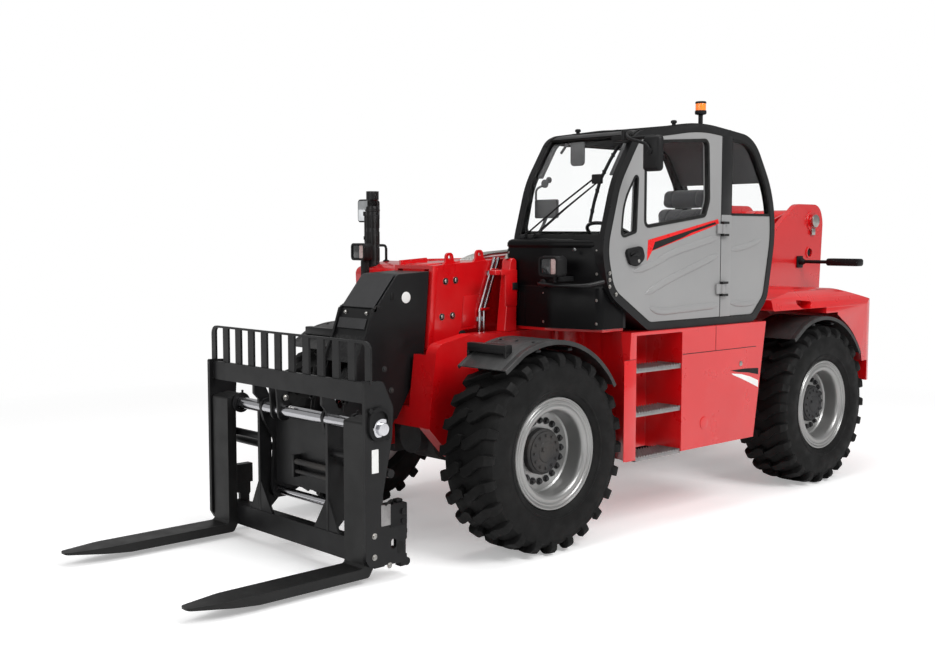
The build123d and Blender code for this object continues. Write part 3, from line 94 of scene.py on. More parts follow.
def grid(points, closed=False):
    """Surface through (rings, n, 3) points: the last ring joins the first, or both end in a face."""
    rings, n = points.shape[:2]
    index = np.arange(rings * n).reshape(rings, n)
    ahead = np.roll(index, -1, 0)
    quads = np.stack([index, np.roll(index, -1, 1), np.roll(ahead, -1, 1), ahead], axis=-1)
    faces = [quads[:rings if closed else -1].reshape(-1, 4)]
    return outward(points.reshape(-1, 3), faces if closed else faces + [index[:1, ::-1], index[-1:]])


def rounded(rows, steps=5):
    """Closed outline through (a, b, corner radius) rows. A corner's arc has its centre on the
    corner's bisector at radius / sin(half angle), and turns evenly between its tangent points."""
    rows = np.array(rows, float)
    points, radius = rows[:, :2], rows[:, 2:3]
    back, ahead = unit(np.roll(points, 1, 0) - points), unit(np.roll(points, -1, 0) - points)
    half = np.arccos(np.clip((back * ahead).sum(1, keepdims=True), -1, 1)) / 2
    reach = radius / np.tan(half)
    centre = points + unit(back + ahead) * radius / np.sin(half)
    start, end = points + back * reach - centre, points + ahead * reach - centre
    t = np.linspace(0, 1, steps)[None, :, None]
    turn = np.maximum(pi - 2 * half, 1e-6)[:, None, :]
    arc = (np.sin((1 - t) * turn) * start[:, None] + np.sin(t * turn) * end[:, None]) / np.sin(turn)
    line = (centre[:, None] + arc).reshape(-1, 2)
    return line[np.linalg.norm(line - np.roll(line, 1, 0), axis=1) > 1e-6]


def rect(a0, b0, a1, b1, r):
    """Rows of a rectangle between two corners, for rounded() or panel()."""
    return [(a0, b0, r), (a1, b0, r), (a1, b1, r), (a0, b1, r)]


def inset(line, by):
    """Closed outline moved inwards by a distance: each point slides along its mitre."""
    edge = unit(np.roll(line, -1, 0) - line)
    area = np.cross(line, np.roll(line, -1, 0)).sum()
    normal = np.stack([-edge[:, 1], edge[:, 0]], 1) * np.sign(area)
    mitre = normal + np.roll(normal, 1, 0)
    return line + mitre / np.maximum((mitre * mitre).sum(1, keepdims=True) / 2, 0.35) * by


def stand(flat, depth, axes):
    """Flat points at a depth, placed along the named axes."""
    out = np.zeros(flat.shape[:-1] + (3,))
    a, b, c = AXES[axes]
    out[..., a], out[..., b], out[..., c] = flat[..., 0], flat[..., 1], depth
    return out


def prism(line, d0, d1, plane="xz", bevel=0.0, steps=3):
    """Solid between two depths on a closed outline. Its rims follow a quarter round: the outline
    moves in by bevel * (1 - sin t) where the depth has gone bevel * (1 - cos t)."""
    low, high = sorted((d0, d1))
    turns = np.linspace(0, pi / 2, steps) if bevel else ()
    rims = [(bevel * (1 - np.sin(t)), bevel * (1 - np.cos(t))) for t in turns] or [(0, 0)]
    rings = [stand(inset(line, by), low + rise, plane) for by, rise in rims]
    rings += [stand(inset(line, by), high - rise, plane) for by, rise in rims[::-1]]
    return grid(np.stack(rings))


def box(x0, x1, y0, y1, z0, z1, bevel=0.004):
    """Block with rounded rims and upright edges."""
    return prism(rounded(rect(x0, y0, x1, y1, bevel), 4), z0, z1, "xy", bevel)


def circle(sides):
    """Unit circle as (n, 2) points."""
    a = np.arange(sides) / sides * 2 * pi
    return np.stack([np.cos(a), np.sin(a)], 1)


def normals(path, closed=False):
    """Side and upward normals along a path; the side is level where the path isn't upright."""
    ahead = unit(np.roll(path, -1, 0) - np.roll(path, 1, 0) if closed else np.gradient(path, axis=0))
    side = unit(np.cross(ahead, np.where(np.abs(ahead[:, 2:]) > 0.95, [[1.0, 0, 0]], [[0, 0, 1.0]])))
    return side, np.cross(side, ahead)


def carried(path, side, up, profile, closed=False):
    """Surface of a profile carried along a path, its two columns laid along side and up."""
    return grid(path[:, None] + side[:, None] * profile[..., :1] + up[:, None] * profile[..., 1:], closed)


def sweep(path, profile, closed=False):
    """Profile (n, 2) carried along a path by the path's own normals."""
    return carried(path, *normals(path, closed), profile, closed)


def bend(points, radius=0.05, steps=6):
    """Open 3-D path through the points with each inner corner replaced by a quadratic curve that
    leaves the runs at radius from the corner: (1-t)^2 a + 2t(1-t) corner + t^2 b."""
    p = np.array(points, float)
    a = p[1:-1] + unit(p[:-2] - p[1:-1]) * radius
    b = p[1:-1] + unit(p[2:] - p[1:-1]) * radius
    t = np.linspace(0, 1, steps)[None, :, None]
    curve = (1 - t) ** 2 * a[:, None] + 2 * t * (1 - t) * p[1:-1, None] + t ** 2 * b[:, None]
    return np.concatenate([p[:1], curve.reshape(-1, 3), p[-1:]])


def tube(points, r, radius=0.05, sides=12):
    """Round bar or pipe along a path with eased corners."""
    return sweep(bend(points, radius), r * circle(sides))


def lathe(profile, centre=(0, 0, 0), axis="y", sides=48, closed=False):
    """Profile of (radius, position) rows turned about an axis through centre. Its end rings are
    closed with caps, unless the profile itself is a closed loop."""
    profile = np.array(profile, float)[:, None]
    return grid(stand(profile[..., :1] * circle(sides), profile[..., 1], axis) + np.array(centre, float), closed)


def rod(centre, r, length, axis="y", bevel=0.003, sides=24):
    """Round bar about centre along an axis, with chamfered rims."""
    h = length / 2
    return lathe([(r - bevel, -h), (r, -h + bevel), (r, h - bevel), (r - bevel, h)], centre, axis, sides)


def bolt_head(r, height, axis="y", out=1):
    """Hexagon head on a washer, standing out along an axis from the origin."""
    h = out * height
    return join(lathe([(1.55 * r, 0), (1.55 * r, 0.25 * h)], axis=axis, sides=16),
                lathe([(1.05 * r, 0.2 * h), (1.05 * r, 0.85 * h), (0.85 * r, h)], axis=axis, sides=6))


def copies(verts, faces):
    """One shape from a (k, n, 3) stack of a shape's moved points."""
    shift = (np.arange(len(verts)) * verts.shape[1])[:, None, None]
    return verts.reshape(-1, 3), [(group[None] + shift).reshape(-1, group.shape[1]) for group in faces]


def stamp(shape, places):
    """Copies of a shape moved to each place."""
    return copies(shape[0] + np.array(places, float).reshape(-1, 1, 3), shape[1])


def bolts(places, r, height, axis="y", out=1):
    """Bolt heads at the places, standing out along an axis."""
    return stamp(bolt_head(r, height, axis, out), places)


def spin(shape, count, centre=(0, 0, 0), axis="y", start=0.0):
    """Copies of a shape turned evenly about an axis through centre."""
    a = (start + np.arange(count) / count * 2 * pi)[:, None]
    p, q, w = AXES[axis]
    rel = shape[0] - np.array(centre, float)
    out = np.zeros((count,) + rel.shape)
    out[..., p] = np.cos(a) * rel[:, p] - np.sin(a) * rel[:, q]
    out[..., q] = np.sin(a) * rel[:, p] + np.cos(a) * rel[:, q]
    out[..., w] = rel[:, w]
    return copies(out + np.array(centre, float), shape[1])


def turned(shape, degrees, axis="y"):
    """The shape turned about an axis through the origin; about y, a positive angle turns +Z to +X."""
    return spin(shape, 1, axis=axis, start=radians(degrees))


def moved(shape, by):
    """The shape moved by a vector."""
    return shape[0] + np.array(by, float), shape[1]


def mirrored(shape):
    """The shape reflected to the machine's other side, with its faces turned back outwards."""
    return shape[0] * [1, -1, 1], [group[:, ::-1] for group in shape[1]]


def both(shape):
    """The shape and its reflection."""
    return join(shape, mirrored(shape))


def ring_strip(line, half, d0, d1, plane="xz"):
    """Flat strip, 2 * half wide, that follows a closed outline between two depths."""
    wide, slim = inset(line, -half), inset(line, half)
    rails = [stand(edge, depth, plane) for edge, depth in ((wide, d0), (wide, d1), (slim, d1), (slim, d0))]
    return grid(np.stack(rails, axis=1), closed=True)


def even(path, count):
    """The path resampled at even distances along itself, and those distances."""
    run = np.concatenate([[0], np.cumsum(np.linalg.norm(np.diff(path, axis=0), axis=1))])
    at = np.linspace(0, run[-1], count)
    return np.stack([np.interp(at, run, path[:, k]) for k in range(3)], 1), at


def ridge(points, width, height, radius=0.1, fade=0.08, count=40):
    """Embossed bead along a path in an upright plane: a flattened round, height out and width across,
    that shrinks to nothing over the distance fade at each end, as the root of the distance left."""
    path, run = even(bend(points, radius, 10), count)
    shrink = np.sqrt(np.clip(np.minimum(run, run[-1] - run) / fade, 0.01, 1))[:, None, None]
    return sweep(path, shrink * (circle(12) * [height, width / 2]))


def strap(path, thick, d0, d1, plane="xz"):
    """Sheet that follows a flat open path, thick to its left, between two depths."""
    path = np.array(path, float)
    along = unit(np.gradient(path, axis=0))
    normal = np.stack([-along[:, 1], along[:, 0]], 1)
    return prism(np.concatenate([path, (path + normal * thick)[::-1]]), d0, d1, plane)


def panel(rows, d0, d1, plane="xz", bevel=0.003):
    """Plate on an outline of (a, b, corner radius) rows between two depths, with rounded rims."""
    return prism(rounded(rows), d0, d1, plane, bevel)


# ------------------------------------------------------------ pieces
def add(name, data):
    """Object with that data in the scene."""
    obj = bpy.data.objects.new(name, data)
    bpy.context.scene.collection.objects.link(obj)
    return obj


def dress(name, mesh, look, body, crease):
    """Mesh as a piece: finished, smooth up to the crease angle and on its body."""
    mesh.materials.clear()
    mesh.materials.append(LOOKS[look][0])
    mesh.polygons.foreach_set("use_smooth", np.ones(len(mesh.polygons), bool))
    mesh.set_sharp_from_angle(angle=radians(crease))
    obj = add(name, mesh)
    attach(obj, body)
    return obj


def piece(name, look, *shapes, body="chassis", slot=None, replaces=None, crease=38.0):
    """Puts shapes into one mesh object in the part's frame."""
    verts, faces = join(*shapes)
    mesh = bpy.data.meshes.new(name)
    counts = np.concatenate([np.full(len(group), group.shape[1]) for group in faces])
    loops = np.concatenate([group.ravel() for group in faces])
    mesh.vertices.add(len(verts))
    mesh.vertices.foreach_set("co", (verts + [MID_X, 0, 0]).astype(np.float32).ravel())
    mesh.loops.add(len(loops))
    mesh.loops.foreach_set("vertex_index", loops.astype(np.int32))
    mesh.polygons.add(len(counts))
    mesh.polygons.foreach_set("loop_start", np.concatenate([[0], np.cumsum(counts)[:-1]]).astype(np.int32))
    mesh.update(calc_edges=True)
    mesh.validate()
    obj = dress(name, mesh, look, body, crease)
    if replaces:
        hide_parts(replaces)
    return obj


def eased(node, body, look, width=0.006, segments=2):
    """A CAD node's shape with its edges rounded: a copy of its mesh is merged, its flat stretches
    are made one face each, and a bevel modifier rounds what is left of the edges."""
    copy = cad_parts[node].data.copy()
    work = bmesh.new()
    work.from_mesh(copy)
    bmesh.ops.remove_doubles(work, verts=work.verts, dist=2e-5)
    bmesh.ops.dissolve_limit(work, angle_limit=radians(1.0), verts=work.verts, edges=work.edges)
    work.to_mesh(copy)
    work.free()
    obj = dress(node + "_body", copy, look, body, 30)
    soft = obj.modifiers.new("edge_rounding", "BEVEL")
    soft.width, soft.segments, soft.limit_method = width, segments, "ANGLE"
    soft.angle_limit, soft.harden_normals, soft.use_clamp_overlap = radians(32), True, True
    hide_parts(node)


# ------------------------------------------------------------ finishes
WHITE = (1, 1, 1, 1)


def linear(r, g, b):
    """A colour as seen on a screen, 0 to 255, as linear light."""
    c = np.array([r, g, b]) / 255
    return tuple(np.where(c <= 0.04045, c / 12.92, ((c + 0.055) / 1.055) ** 2.4)) + (1.0,)


def shade(colour, times, plus=0.0):
    """The colour made lighter or darker, and no brighter than full."""
    return tuple(min(1.0, c * times + plus) for c in colour[:3]) + (1.0,)


class Nodes:
    """A node tree being put together. A call's inputs take either a number or another node's output."""

    def __init__(self, tree):
        self.tree = tree

    def feed(self, socket, value):
        if isinstance(value, bpy.types.NodeSocket):
            self.tree.links.new(value, socket)
        else:
            socket.default_value = value

    def node(self, kind, out=0, inputs=(), **values):
        made = self.tree.nodes.new("ShaderNode" + kind)
        for key, value in values.items():
            setattr(made, key, value)
        for key, value in dict(inputs).items():
            self.feed(made.inputs[key], value)
        return made.outputs[out]

    def math(self, operation, a, b):
        return self.node("Math", 0, {0: a, 1: b}, operation=operation)

    def mix(self, factor, a, b):
        """Colour a where the factor is 0 and b where it is 1."""
        return self.node("Mix", 2, {0: factor, 6: a, 7: b}, data_type="RGBA")

    def ramp(self, value, low, high, least=0.0, most=1.0):
        """The value stretched from low..high to least..most and kept between them."""
        return self.node("MapRange", "Result", {"Value": value, "From Min": low, "From Max": high,
                                                "To Min": least, "To Max": most})

    def blend(self, factor, a, b):
        """Shader a where the factor is 0 and b where it is 1."""
        return self.node("MixShader", 0, {0: factor, 1: a, 2: b})


class Finish(Nodes):
    """A material, with short calls for the nodes that these finishes use."""

    def __init__(self, name, **sockets):
        self.material = bpy.data.materials.new(name)
        self.material.use_nodes = True
        super().__init__(self.material.node_tree)
        self.place = self.node("TexCoord", "Object")
        self.put(**sockets)

    def put(self, **values):
        """Feeds the shader's own sockets; underscores stand for spaces."""
        for key, value in values.items():
            self.feed(self.tree.nodes["Principled BSDF"].inputs[key.replace("_", " ")], value)

    def stretched(self, scale):
        return self.node("Mapping", "Vector", {"Vector": self.place, "Scale": scale}) if scale else self.place

    def noise(self, scale, detail=4.0, rough=0.55, stretch=None):
        return self.node("TexNoise", "Fac", {"Vector": self.stretched(stretch), "Scale": scale,
                                             "Detail": detail, "Roughness": rough})

    def cells(self, scale):
        return self.node("TexVoronoi", "Distance", {"Vector": self.place, "Scale": scale})

    def cloud(self, scale, detail, low, high, least=0.0, most=1.0, **noise):
        """Noise with its middle stretched to the range least..most."""
        return self.ramp(self.noise(scale, detail, **noise), low, high, least, most)

    def bump(self, height, strength, distance):
        """Sets the bump, and gives the material back, done."""
        self.put(Normal=self.node("Bump", "Normal", {"Height": height, "Strength": strength, "Distance": distance}))
        return self.material


# How each kind of surface varies. shades: its two tones as (times, plus); tone: the noise between
# them, as scale, detail, low, high; dirt: the same for patches of dirt, then that noise's roughness
# and the dirt's colour; sheen: scale and detail, and how far the roughness goes down and up; fine:
# detail and depth of the bump.
KINDS = {
    # sprayed paint: a slow drift of tone, orange peel, light dust and a clear coat
    "paint": dict(shades=((0.94, 0), (1, 0)), tone=(1.6, 4, 0.35, 0.65),
                  dirt=(3.1, 8, 0.5, 0.75, 0.55, (176, 168, 158)), sheen=(5, 6, 0.05, 0.07), fine=(2, 0.0004)),
    # powder coat or moulded plastic: fine grain, uneven sheen, bare edges if worn
    "satin": dict(shades=((1, 0), (1.12, 0.001)), tone=(4, 6, 0.35, 0.68),
                  dirt=(2.3, 9, 0.5, 0.78, 0.55, (150, 144, 136)), sheen=(7, 7, 0.08, 0.1), fine=(3, 0.0006)),
    # rubber: matt grain, dust in broad patches
    "rubber": dict(shades=((1, 0), (1.5, 0.002)), tone=(9, 8, 0.4, 0.7),
                   dirt=(3.4, 10, 0.5, 0.75, 0.7, (120, 112, 102)), sheen=(14, 6, 0.1, 0.12), fine=(5, 0.0012)),
    # bare or plated metal: brushed streaks along one axis and cloudy roughness
    "metal": dict(shades=((0.78, 0), (1, 0)), tone=(14, 5, 0.3, 0.7), dirt=None, sheen=(20, 5, 0.06, 0.1),
                  fine=(4, 0.0004)),
    # painted cast iron: pitted skin, dirt in patches
    "casting": dict(shades=((1, 0), (1.35, 0)), tone=(5, 7, 0.35, 0.7), dirt=(2, 9, 0.52, 0.75, 0.55, (118, 106, 92)),
                    sheen=(11, 6, 0.08, 0.12), fine=(4, 0.0015))}


def surface(kind, name, rgb, rough, grain, bump, dust=0.0, worn=None, spots=0.0, pits=0, stretch=None, **sockets):
    """Finish of one kind: its colour and roughness, the grain's scale and the bump's strength, and
    how much dust, bare metal at the edges, crystal spots or pits it has."""
    f, how, colour = Finish(name, **sockets), KINDS[kind], linear(*rgb)
    base = f.mix(f.cloud(*how["tone"], stretch=stretch), *(shade(colour, *s) for s in how["shades"]))
    if spots:
        crystal = f.math("MULTIPLY", f.ramp(f.cells(55.0), 0.1, 0.75), spots)
        base = f.mix(crystal, base, shade(colour, 0.62))
    if how["dirt"]:
        *patch, ragged, tint = how["dirt"]
        base = f.mix(f.math("MULTIPLY", f.cloud(*patch, rough=ragged), dust), base, linear(*tint))
    if worn:
        # where the surface turns sharply outwards, broken up by noise
        sharp = f.ramp(f.node("NewGeometry", "Pointiness"), 0.56, 0.7)
        edges = f.math("MULTIPLY", sharp, f.cloud(60, 4, 0.42, 0.6))
        base = f.mix(f.math("MULTIPLY", edges, 0.5), base, linear(*worn))
    scale, detail, down, up = how["sheen"]
    f.put(Base_Color=base, Roughness=f.cloud(scale, detail, 0.3, 0.7, rough - down, rough + up, stretch=stretch))
    height = f.noise(grain, how["fine"][0], stretch=stretch)
    return f.bump(f.math("ADD", height, f.cells(pits)) if pits else height, bump, how["fine"][1])


def paint(name, rgb, rough, coat=0.25, bump=0.05, **more):
    return surface("paint", name, rgb, rough, 420, bump, 0.03, Coat_Weight=coat, Coat_Roughness=0.08, **more)


def satin(name, rgb, rough=0.5, grain=320, bump=0.12, dust=0.02, shine=0.3, worn=None):
    return surface("satin", name, rgb, rough, grain, bump, dust, worn, Specular_IOR_Level=shine)


def rubber(name, rgb, rough, grain=160, dust=0.05, shine=0.3):
    return surface("rubber", name, rgb, rough, grain, 0.25, dust, Specular_IOR_Level=shine)


def metal(name, rgb, rough, stretch=(1, 60, 1), streak=0.12, spots=0.0):
    return surface("metal", name, rgb, rough, 90, streak, spots=spots, stretch=stretch, Metallic=1.0)


def part_black(name, from_x):
    """Red paint that gives way to black satin ahead of a place along X."""
    f = Finish(name, Coat_Weight=0.3, Coat_Roughness=0.15, Specular_IOR_Level=0.35)
    ahead = f.ramp(f.node("SeparateXYZ", "X", {0: f.place}), from_x - 0.001, from_x + 0.001)
    black = f.mix(f.cloud(4, 6, 0.35, 0.68), linear(20, 20, 21), linear(26, 26, 27))
    f.put(Base_Color=f.mix(ahead, linear(*RED), black), Roughness=f.cloud(5, 6, 0.3, 0.7, 0.3, 0.42))
    return f.bump(f.noise(420, 2), 0.04, 0.0004)


def pane(name, tint, rough=0.02):
    """Safety glass: clear, slightly tinted, with a faint film that dulls it in patches."""
    f = Finish(name, Transmission_Weight=1.0, IOR=1.12, Base_Color=tint)
    f.put(Roughness=f.cloud(2.5, 8, 0.45, 0.75, rough, rough + 0.035))
    return f.material


def lens(name, rgb, cells, glow=None):
    """Moulded lamp lens: coloured clear plastic with a fine pattern of prisms, each painted
    lighter towards its edges as a glint.
    """
    f, tint = Finish(name, Transmission_Weight=0.35, IOR=1.49, Roughness=0.08, Coat_Weight=0.8), linear(*rgb)
    # painted glint: the colour turns lighter away from each prism's middle
    f.put(Base_Color=f.mix(f.ramp(f.cells(cells), 0.0, 0.6), tint, shade(tint, 1.5, 0.02)))
    if glow:
        f.put(Emission_Color=tint, Emission_Strength=glow)
    return f.bump(f.cells(cells), 0.5, 0.002)


def cloth(name, rgb, thread=420.0):
    """Woven seat cloth: two crossing sets of threads as waves, with soft sheen, and a painted
    highlight that lightens the colour where the threads stand high.
    """
    f = Finish(name, Sheen_Weight=0.35, Sheen_Roughness=0.5, Specular_IOR_Level=0.2, Roughness=0.88)
    colour = linear(*rgb)
    weave = [f.node("TexWave", "Fac", {"Vector": f.place, "Scale": thread / 3, "Distortion": 0.6},
                    wave_type="BANDS", bands_direction=direction) for direction in ("X", "Z")]
    height = f.math("MAXIMUM", *weave)
    # painted highlight: lighter where the threads stand high, darker in the gaps between them
    shown = f.math("MULTIPLY", height, f.cloud(12, 4, 0.2, 0.8, 0.3, 0.9))
    f.put(Base_Color=f.mix(shown, colour, shade(colour, 1.8, 0.01)))
    return f.bump(height, 0.5, 0.0012)


RED = (208, 8, 16)
# rows: look, its material and the slot that its pieces stand in for
LOOKS = {
    "red": (paint("red_paint", RED, 0.3, 0.7), "red_paint"),
    "inner_boom": (part_black("inner_boom_paint", 1.9 + MID_X), "red_paint"),
    "black": (satin("black_paint", (21, 21, 22), 0.36, 260, 0.04, 0.008, 0.26, (80, 79, 78)), "black_paint"),
    "gloss_black": (satin("gloss_black_paint", (8, 8, 9), 0.36, 300, 0.02, 0.0, 0.1), "black_plastic"),
    "grey": (paint("grey_paint", (142, 142, 142), 0.38, bump=0.03), "grey_paint"),
    "fender": (rubber("fender_plastic", (46, 46, 46), 0.45, 500, 0.03), "black_plastic"),
    "plastic": (satin("moulded_plastic", (17, 17, 18), 0.5, 700, 0.2, 0.01, 0.22), "black_plastic"),
    "rim": (paint("rim_paint", (156, 156, 155), 0.34, Metallic=0.75), "rim_silver"),
    "tyre": (rubber("tyre_rubber", (13, 13, 13), 0.62, dust=0.02, shine=0.18), "tyre_rubber"),
    "seal": (rubber("seal_rubber", (12, 12, 12), 0.6, 300, 0.02), "black_plastic"),
    "cast": (surface("casting", "axle_casting", (40, 40, 41), 0.6, 110, 0.35, 0.2, pits=180,
                     Specular_IOR_Level=0.4), "cast_grey"),
    "chrome": (metal("hard_chrome", (214, 214, 218), 0.12, (60, 60, 1), 0.03), "chrome_rod"),
    "steel": (metal("bright_steel", (178, 176, 172), 0.3), "bare_steel"),
    "zinc": (metal("zinc_plated", (168, 166, 166), 0.38, (1, 1, 1), 0.1, 0.3), "galvanised"),
    "mirror": (metal("mirror_glass", (225, 228, 230), 0.06, (1, 1, 1), 0.0), "chrome_rod"),
    "glass": (pane("window_glass", (0.985, 0.99, 0.99, 1)), "window_glass"),
    "amber": (lens("amber_lens", (255, 120, 20), 120, 0.35), "amber_lens"),
    "red_lens": (lens("red_lens", (190, 12, 14), 120), "amber_lens"),
    "dark_lens": (lens("dark_reflector", (30, 31, 33), 60), "window_glass"),
    "pink_lens": (lens("pale_lens", (196, 168, 164), 130), "window_glass"),
    "white": (satin("white_film", (226, 226, 224), 0.4, 500, 0.03, 0.03), "grey_paint"),
    "red_film": (satin("red_film", (214, 22, 24), 0.3, 500, 0.02), "red_paint"),
    "cloth": (cloth("seat_cloth", (74, 74, 76)), "seat_cloth"),
    "hoop": (satin("cab_hoop_paint", (18, 18, 19), 0.34, 300, 0.03, 0.005, 0.28, (60, 60, 60)), "black_paint"),
    "trim_grey": (satin("cab_lining_grey", (84, 84, 85), 0.7, 420, 0.15), "black_plastic"),
    "head_grey": (satin("head_panel_grey", (58, 58, 59), 0.5, 260, 0.04, 0.01, 0.2), "grey_paint"),
    "screen": (satin("monitor_screen", (16, 18, 20), 0.12, 60, 0.0), "black_plastic"),
    "fork": (satin("fork_steel_black", (22, 22, 22), 0.4, 200, 0.1, 0.01, 0.3, (100, 98, 95)), "black_paint"),
}


# ------------------------------------------------------------ wheels
LUG_COUNT = 24              # lugs on each side of the tread's middle
TREAD_BASE = TYRE_R - 0.04
RIM_R = 0.374               # flange of the rim
# half section of the tyre as (radius, distance from its middle plane), tread to bead
CARCASS = ((TREAD_BASE + 0.003, 0.0), (TREAD_BASE, 0.11), (TREAD_BASE - 0.006, 0.165), (0.612, 0.197),
        (0.6, 0.211), (0.592, 0.2185), (0.587, 0.2175), (0.56, 0.2265), (0.53, 0.2325), (0.5, 0.2345),
        (0.47, 0.2335), (0.445, 0.229), (0.431, 0.2255), (0.427, 0.228), (0.416, 0.226), (0.413, 0.221),
        (0.4, 0.214), (0.388, 0.206), (0.379, 0.198), (0.372, 0.187), (0.35, 0.182), (0.322, 0.18))
# stations of a lug from the tyre's middle out over the shoulder: base and top as (radius, y), the
# shift and half width along the tread
LUG = ((TREAD_BASE - 0.01, 0.006, TYRE_R, 0.006, 0.058, 0.03),
       (TREAD_BASE - 0.01, 0.04, TYRE_R, 0.04, 0.054, 0.043),
       (TREAD_BASE - 0.01, 0.08, TYRE_R - 0.001, 0.08, 0.03, 0.046),
       (TREAD_BASE - 0.01, 0.125, TYRE_R - 0.002, 0.125, -0.006, 0.042),
       (TREAD_BASE - 0.02, 0.165, TYRE_R - 0.006, 0.165, -0.03, 0.04),
       (0.61, 0.192, TYRE_R - 0.015, 0.205, -0.036, 0.039),
       (0.598, 0.205, TYRE_R - 0.04, 0.2275, -0.038, 0.037),
       (0.585, 0.212, 0.612, 0.2325, -0.038, 0.034), (0.57, 0.219, 0.585, 0.2295, -0.038, 0.03))


def tread_lug():
    """One lug: rings across it at each station. A ring runs base, side, rounded top edge, top and
    back down, and its shift s along the tread becomes the angle s / tyre radius."""
    rows = np.array(LUG)
    base, top, shift, half = rows[:, 0:2], rows[:, 2:4], rows[:, 4:5], rows[:, 5:6]
    # rows: place across the lug from -1 to 1, height from base 0 to top 1
    across = np.array([(-1, 0), (-0.93, 0.55), (-0.86, 0.93), (-0.78, 1), (0.78, 1), (0.86, 0.93), (0.93, 0.55),
                       (1, 0)])
    angle = (shift + half * across[:, 0]) / TYRE_R
    r, y = np.moveaxis(base[:, None] + (top - base)[:, None] * across[:, 1:], -1, 0)
    return grid(np.stack([r * np.sin(angle), y, r * np.cos(angle)], axis=-1))


def tyre(x, side):
    """Carcass turned from its half section and that section's reflection, with a ring of lugs on
    each half; the second ring is the first turned half round about the wheel's upright."""
    half = np.array(CARCASS)
    profile = np.concatenate([half[::-1] * [1, -1], half[1:]])
    centre = (x, side * WHEEL_Y, WHEEL_R)
    body = lathe(profile, centre, "y", 96, closed=True)
    lug = tread_lug()
    other = (lug[0] * [-1, -1, 1], lug[1])
    ring = join(spin(lug, LUG_COUNT), spin(other, LUG_COUNT, start=pi / LUG_COUNT))
    return join(body, moved(ring, centre))


def rim(x, side):
    """Deep-dished rim turned from one closed section: lock ring and flange outside, bowl, disc and
    inner flange, with its valve."""
    rows = [(RIM_R, 0.184), (RIM_R, 0.197), (0.37, 0.203), (0.362, 0.203), (0.358, 0.197), (0.352, 0.195),
            (0.347, 0.2), (0.338, 0.201), (0.333, 0.196), (0.328, 0.194), (0.322, 0.198), (0.308, 0.199),
            (0.296, 0.196), (0.286, 0.188), (0.279, 0.174), (0.2765, 0.15), (0.2755, 0.09), (0.272, 0.066),
            (0.262, 0.056), (0.24, 0.0535), (0.15, 0.0535), (0.15, 0.03), (0.262, 0.028), (0.276, 0.01),
            (0.28, -0.05), (0.282, -0.15), (0.288, -0.185), (0.3, -0.198), (0.366, -0.2), (RIM_R, -0.197),
            (RIM_R, -0.186), (0.352, -0.182), (0.322, -0.16), (0.3175, -0.12), (0.3175, 0.12), (0.322, 0.16),
            (0.352, 0.182)]
    rows = np.array(rows) * [1, side]
    return join(lathe(rows, (x, side * WHEEL_Y, WHEEL_R), "y", 96, closed=True),
                rod((x + 0.236, side * (WHEEL_Y + 0.075), WHEEL_R + 0.05), 0.006, 0.05))


def hub(x, side):
    """Planetary hub end: a stepped black drum with a bolt circle, a plug and its centre cap, and the
    ring of wheel nuts on the disc round it."""
    def head(r, height, away, out, up=0.0):
        return moved(bolt_head(r, height, "y", side), (x + away, y + side * out, WHEEL_R + up))

    y = side * WHEEL_Y
    rows = [(0.154, 0.02), (0.154, 0.092), (0.148, 0.1), (0.139, 0.104), (0.136, 0.112), (0.126, 0.1155),
            (0.07, 0.1165), (0.066, 0.121), (0.06, 0.123), (0.018, 0.124)]
    centre = (x, y, WHEEL_R)
    drum = lathe(np.array(rows) * [1, side], centre)
    nuts = spin(head(0.0155, 0.024, 0.205, 0.053), 20, centre)
    caps = spin(head(0.0085, 0.01, 0.11, 0.1155), 12, centre)
    return join(drum, nuts, caps, head(0.012, 0.012, 0.035, 0.1225, 0.02))


FENDER_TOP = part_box("fender_fl")[1][2]
FENDER_R = FENDER_TOP - WHEEL_R - 0.022
FENDER_SHIFT = 0.03
FENDER_HALF = 0.224         # from the wheel's middle plane to either edge


def mudguard(front, side):
    """Fender band: along it, an arc from the rear tip to the flap's root and then a flat flap;
    across it, a thin sheet with lips turned down at both edges and a shallow bead near each."""
    cx, cz = front * AXLE_X + FENDER_SHIFT, FENDER_TOP - FENDER_R
    a = np.linspace(radians(148), radians(66), 30)
    arc = np.stack([cx + FENDER_R * np.cos(a), cz + FENDER_R * np.sin(a)], 1)
    flap = np.array([cx + 0.455, FENDER_TOP - 0.165])
    t = np.linspace(0, 1, 8)[1:, None]
    line = np.concatenate([arc, arc[-1] + (flap - arc[-1]) * t])
    along = unit(np.gradient(line, axis=0))
    normal = np.stack([along[:, 1], -along[:, 0]], 1)
    normal *= np.sign((normal[10] * (line[10] - [cx, cz])).sum())
    # section rows: distance across from the inner edge, and height above the band's outer face
    w = 2 * FENDER_HALF
    section = np.array([(0, -0.028), (0.0, -0.004), (0.004, 0), (0.03, 0), (0.036, -0.003), (0.044, -0.003),
            (0.05, 0), (w - 0.055, 0), (w - 0.049, -0.003), (w - 0.041, -0.003), (w - 0.035, 0),
            (w - 0.004, 0), (w, -0.004), (w, -0.03), (w - 0.007, -0.03), (w - 0.007, -0.01),
            (w - 0.012, -0.007), (0.012, -0.007), (0.007, -0.01), (0.007, -0.028)])
    y = side * (WHEEL_Y - FENDER_HALF + section[:, 0])
    flat = line[:, None] + normal[:, None] * section[:, 1:]
    return grid(np.stack([flat[..., 0], np.broadcast_to(y, flat.shape[:2]), flat[..., 1]], -1))


